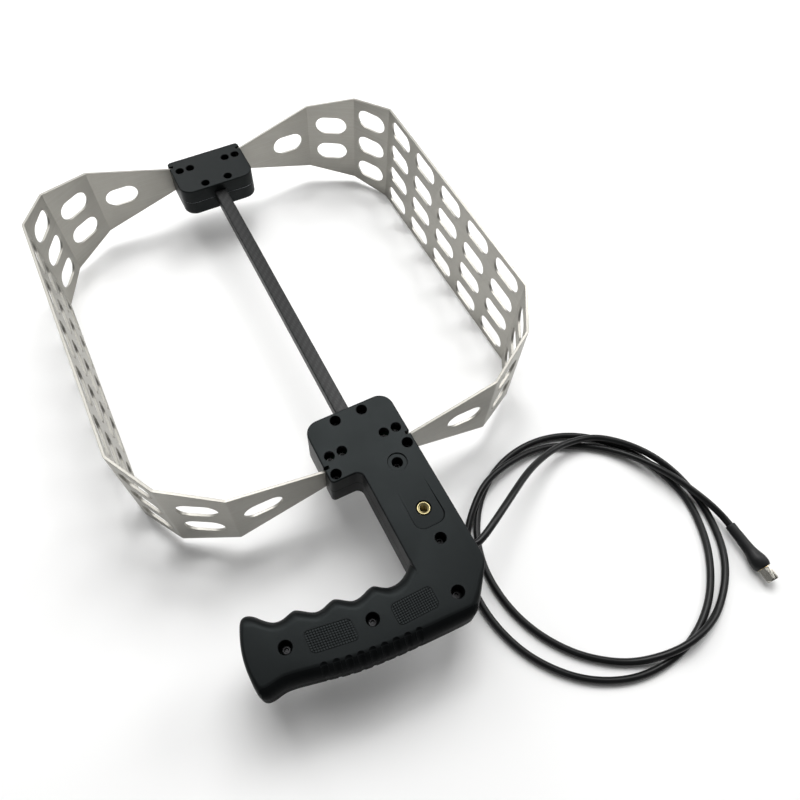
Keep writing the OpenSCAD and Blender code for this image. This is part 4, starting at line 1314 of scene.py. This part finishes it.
def make_boot():
    """Heat-shrink sleeve: drawn down on the cable, swelling over the ferrule and fat over the plug's body."""
    line = [(2.62, -34.9), (3.1, -34.82), (3.42, -34.5), (3.55, -33.8), (3.6, -31), (3.66, -27), (3.75, -22.5), (3.85, -19.2), (3.97, -17.2),
            (4.2, -14.6), (4.42, -12.9), (4.73, -11.3), (5.15, -9.7), (5.58, -8.3), (5.88, -7.0), (6.03, -5.7), (6.07, -4.6), (6.03, -3.4),
            (5.91, -2.4), (5.72, -1.4), (5.42, -0.6), (5.1, -0.12), (4.85, 0)]
    outer = through(line, 0.45)
    inner = [(4.72, -0.25), (4.7, -7.5), (3.25, -11.5), (3.25, -18.3), (2.56, -18.3), (2.54, -34.75)]
    profile = [tuple(p) for p in outer] + inner
    n, v, f = 72, [], []
    m = len(profile)
    for i, (r, z) in enumerate(profile):
        for k in range(n):
            a = 2 * math.pi * k / n
            q = r
            if i < len(outer) and 1 < i < len(outer) - 6:
                fade = min(1.0, (z + 34.9) / 2) * min(1.0, -z / 2)
                q += fade * (0.030 * math.sin(3 * a + 0.55 * z) + 0.022 * math.sin(5 * a - 0.9 * z + 1.3) + 0.018 * math.sin(2 * a + 0.3 * z + 0.6))
            v.append((q * math.cos(a), q * math.sin(a), z))
    for i in range(m):
        j = (i + 1) % m
        for k in range(n):
            w = (k + 1) % n
            f.append([i * n + k, i * n + w, j * n + w, j * n + k])
    v, f = on_plug((v, f))
    o = build("plug_heat_shrink", v, f, in_loop=False)
    return finish_piece(shade(o, 45), "root", "heat_shrink", M_SHRINK, "plug_boot")


def make_nut():
    """Coupling nut: hexagon with turned chamfers, a turned collar and an inner thread."""
    length, af = 9.6, 8.0
    hexagon = []
    for k in range(6):
        a = math.radians(60 * k)
        c = ((af / 2 - 0.35) / math.cos(math.pi / 6) * math.cos(a), (af / 2 - 0.35) / math.cos(math.pi / 6) * math.sin(a))
        hexagon += [(c[0] + 0.35 * math.cos(a + b), c[1] + 0.35 * math.sin(a + b)) for b in (-0.5236, -0.26, 0, 0.26, 0.5236)]
    o = build("coupling_hex_nut", *on_plug(prism(hexagon, 0.3, length + 0.3)), in_loop=False)
    hull = [(0, 0.3), (4.15, 0.3), (4.45, 0.5), (4.8, 0.95), (4.8, length - 1.9), (4.3, length - 1.0), (4.05, length - 0.5), (3.92, length - 0.1), (3.78, length + 0.18), (3.6, length + 0.3), (0, length + 0.3)]
    cut(o, [build("hull", *on_plug(turned(hull, 96)), in_loop=False)], "INTERSECT")
    bore = [(0, -1), (2.75, -1), (2.75, 1.05), (3.08, 1.05), (3.08, 1.95), (2.75, 1.95), (2.75, 2.9), (3.2, 2.9), (3.2, 4.5), (2.9, 4.7), (2.9, 5.2), (0, 5.2)]
    cut(o, [
        build("bore", *on_plug(turned(bore, 64)), in_loop=False),
        build("thread", *on_plug(thread_rod(2.9, 3.17, 0.706, 5.0, 11.5, 48, 8)), in_loop=False),
        build("mouth", *on_plug(turned([(0, length - 0.05), (3.0, length - 0.05), (3.32, length + 0.3), (3.6, length + 0.7), (0, length + 0.7)], 64)), in_loop=False),
    ])
    return finish_piece(shade(o, 26), "nut", "nickel", M_NICKEL, "coupling_nut")


boot = make_boot()
nut = make_nut()

# ---- CAD nodes that stay, with their own finishes ---------------------------
for _node, _mat in {
    "case_inserts": M_BRASS, "feed_inserts": M_BRASS, "tip_case_inserts": M_BRASS, "tip_inserts": M_BRASS,
    "feed_board": M_BOARD, "tip_board": M_BOARD, "balun_core": M_FERRITE, "balun_winding": M_COPPER, "feed_leads": M_COPPER,
    "coax_inner_lead": M_CABLE, "load_resistor": M_RESISTOR, "crimp_ferrule": M_GOLD, "plug_body": M_GOLD, "plug_dielectric": M_WHITE,
    "plug_pin": M_GOLD, "nut_retaining_ring": M_GOLD, "plug_gasket": M_RED,
}.items():
    _o = nodes[_node]
    _o.data.materials.clear()
    _o.data.materials.append(_mat)


# ---- table, light ----------------------------------------------------------
def make_stage():
    me = bpy.data.meshes.new("table")
    me.from_pydata([(-6, -6, 0), (6, -6, 0), (6, 6, 0), (-6, 6, 0)], [], [[0, 1, 2, 3]])
    floor = link("table", me)
    m = Nodes("pale_table", IOR=1.3)
    cloud = m.noise(3, 3, 0.5)
    m.set("Base Color", m.ramp(cloud, (0.3, (0.90, 0.90, 0.895)), (0.7, (0.93, 0.93, 0.925))))
    m.bsdf.inputs["Roughness"].default_value = 0.75
    me.materials.append(m.mat)

    # the room: a pale horizon under a dimmer ceiling
    world = bpy.data.worlds.new("studio")
    scene.world = world
    world.use_nodes = True
    t = world.node_tree
    t.nodes.clear()
    out, bg = t.nodes.new("ShaderNodeOutputWorld"), t.nodes.new("ShaderNodeBackground")
    coord, part = t.nodes.new("ShaderNodeTexCoord"), t.nodes.new("ShaderNodeSeparateXYZ")
    ramp = t.nodes.new("ShaderNodeValToRGB")
    stops = ramp.color_ramp.elements
    for el, (at, level) in zip(stops, ((0.0, 0.42), (0.5, 0.16))):
        el.position = at
        el.color = (level, level, level, 1)
    t.links.new(coord.outputs["Generated"], part.inputs[0])
    t.links.new(part.outputs["Z"], ramp.inputs[0])
    t.links.new(ramp.outputs[0], bg.inputs[0])
    bg.inputs[1].default_value = 1.0
    t.links.new(bg.outputs[0], out.inputs[0])

    def softbox(name, azimuth, elevation, watts):
        """A square softbox 1.75 m away; the azimuth runs from the tip block's side to the right."""
        d = bpy.data.lights.new(name, "AREA")
        d.shape = "SQUARE"
        d.size = 0.8
        d.energy = watts
        o = bpy.data.objects.new(name, d)
        a, e = math.radians(azimuth), math.radians(elevation)
        at = Vector((math.sin(a) * math.cos(e), math.cos(a) * math.cos(e), math.sin(e))) * 1.75
        o.location = at
        o.rotation_mode = "QUATERNION"
        o.rotation_quaternion = (Vector((0, -0.03, 0.03)) - at).to_track_quat("-Z", "Y")
        scene.collection.objects.link(o)

    softbox("top", 0, 75, 8.0)
    softbox("back_right", 45, 58, 15.5)
    softbox("back", 0, 58, 5.5)
    softbox("back_low", 0, 35, 5.1)
    softbox("right", 90, 35, 10.2)
    softbox("left_low", 315, 35, 5.6)
    scene.view_settings.view_transform = "Standard"
    scene.view_settings.look = "None"
    scene.view_settings.exposure = 0
    scene.view_settings.gamma = 1


make_stage()
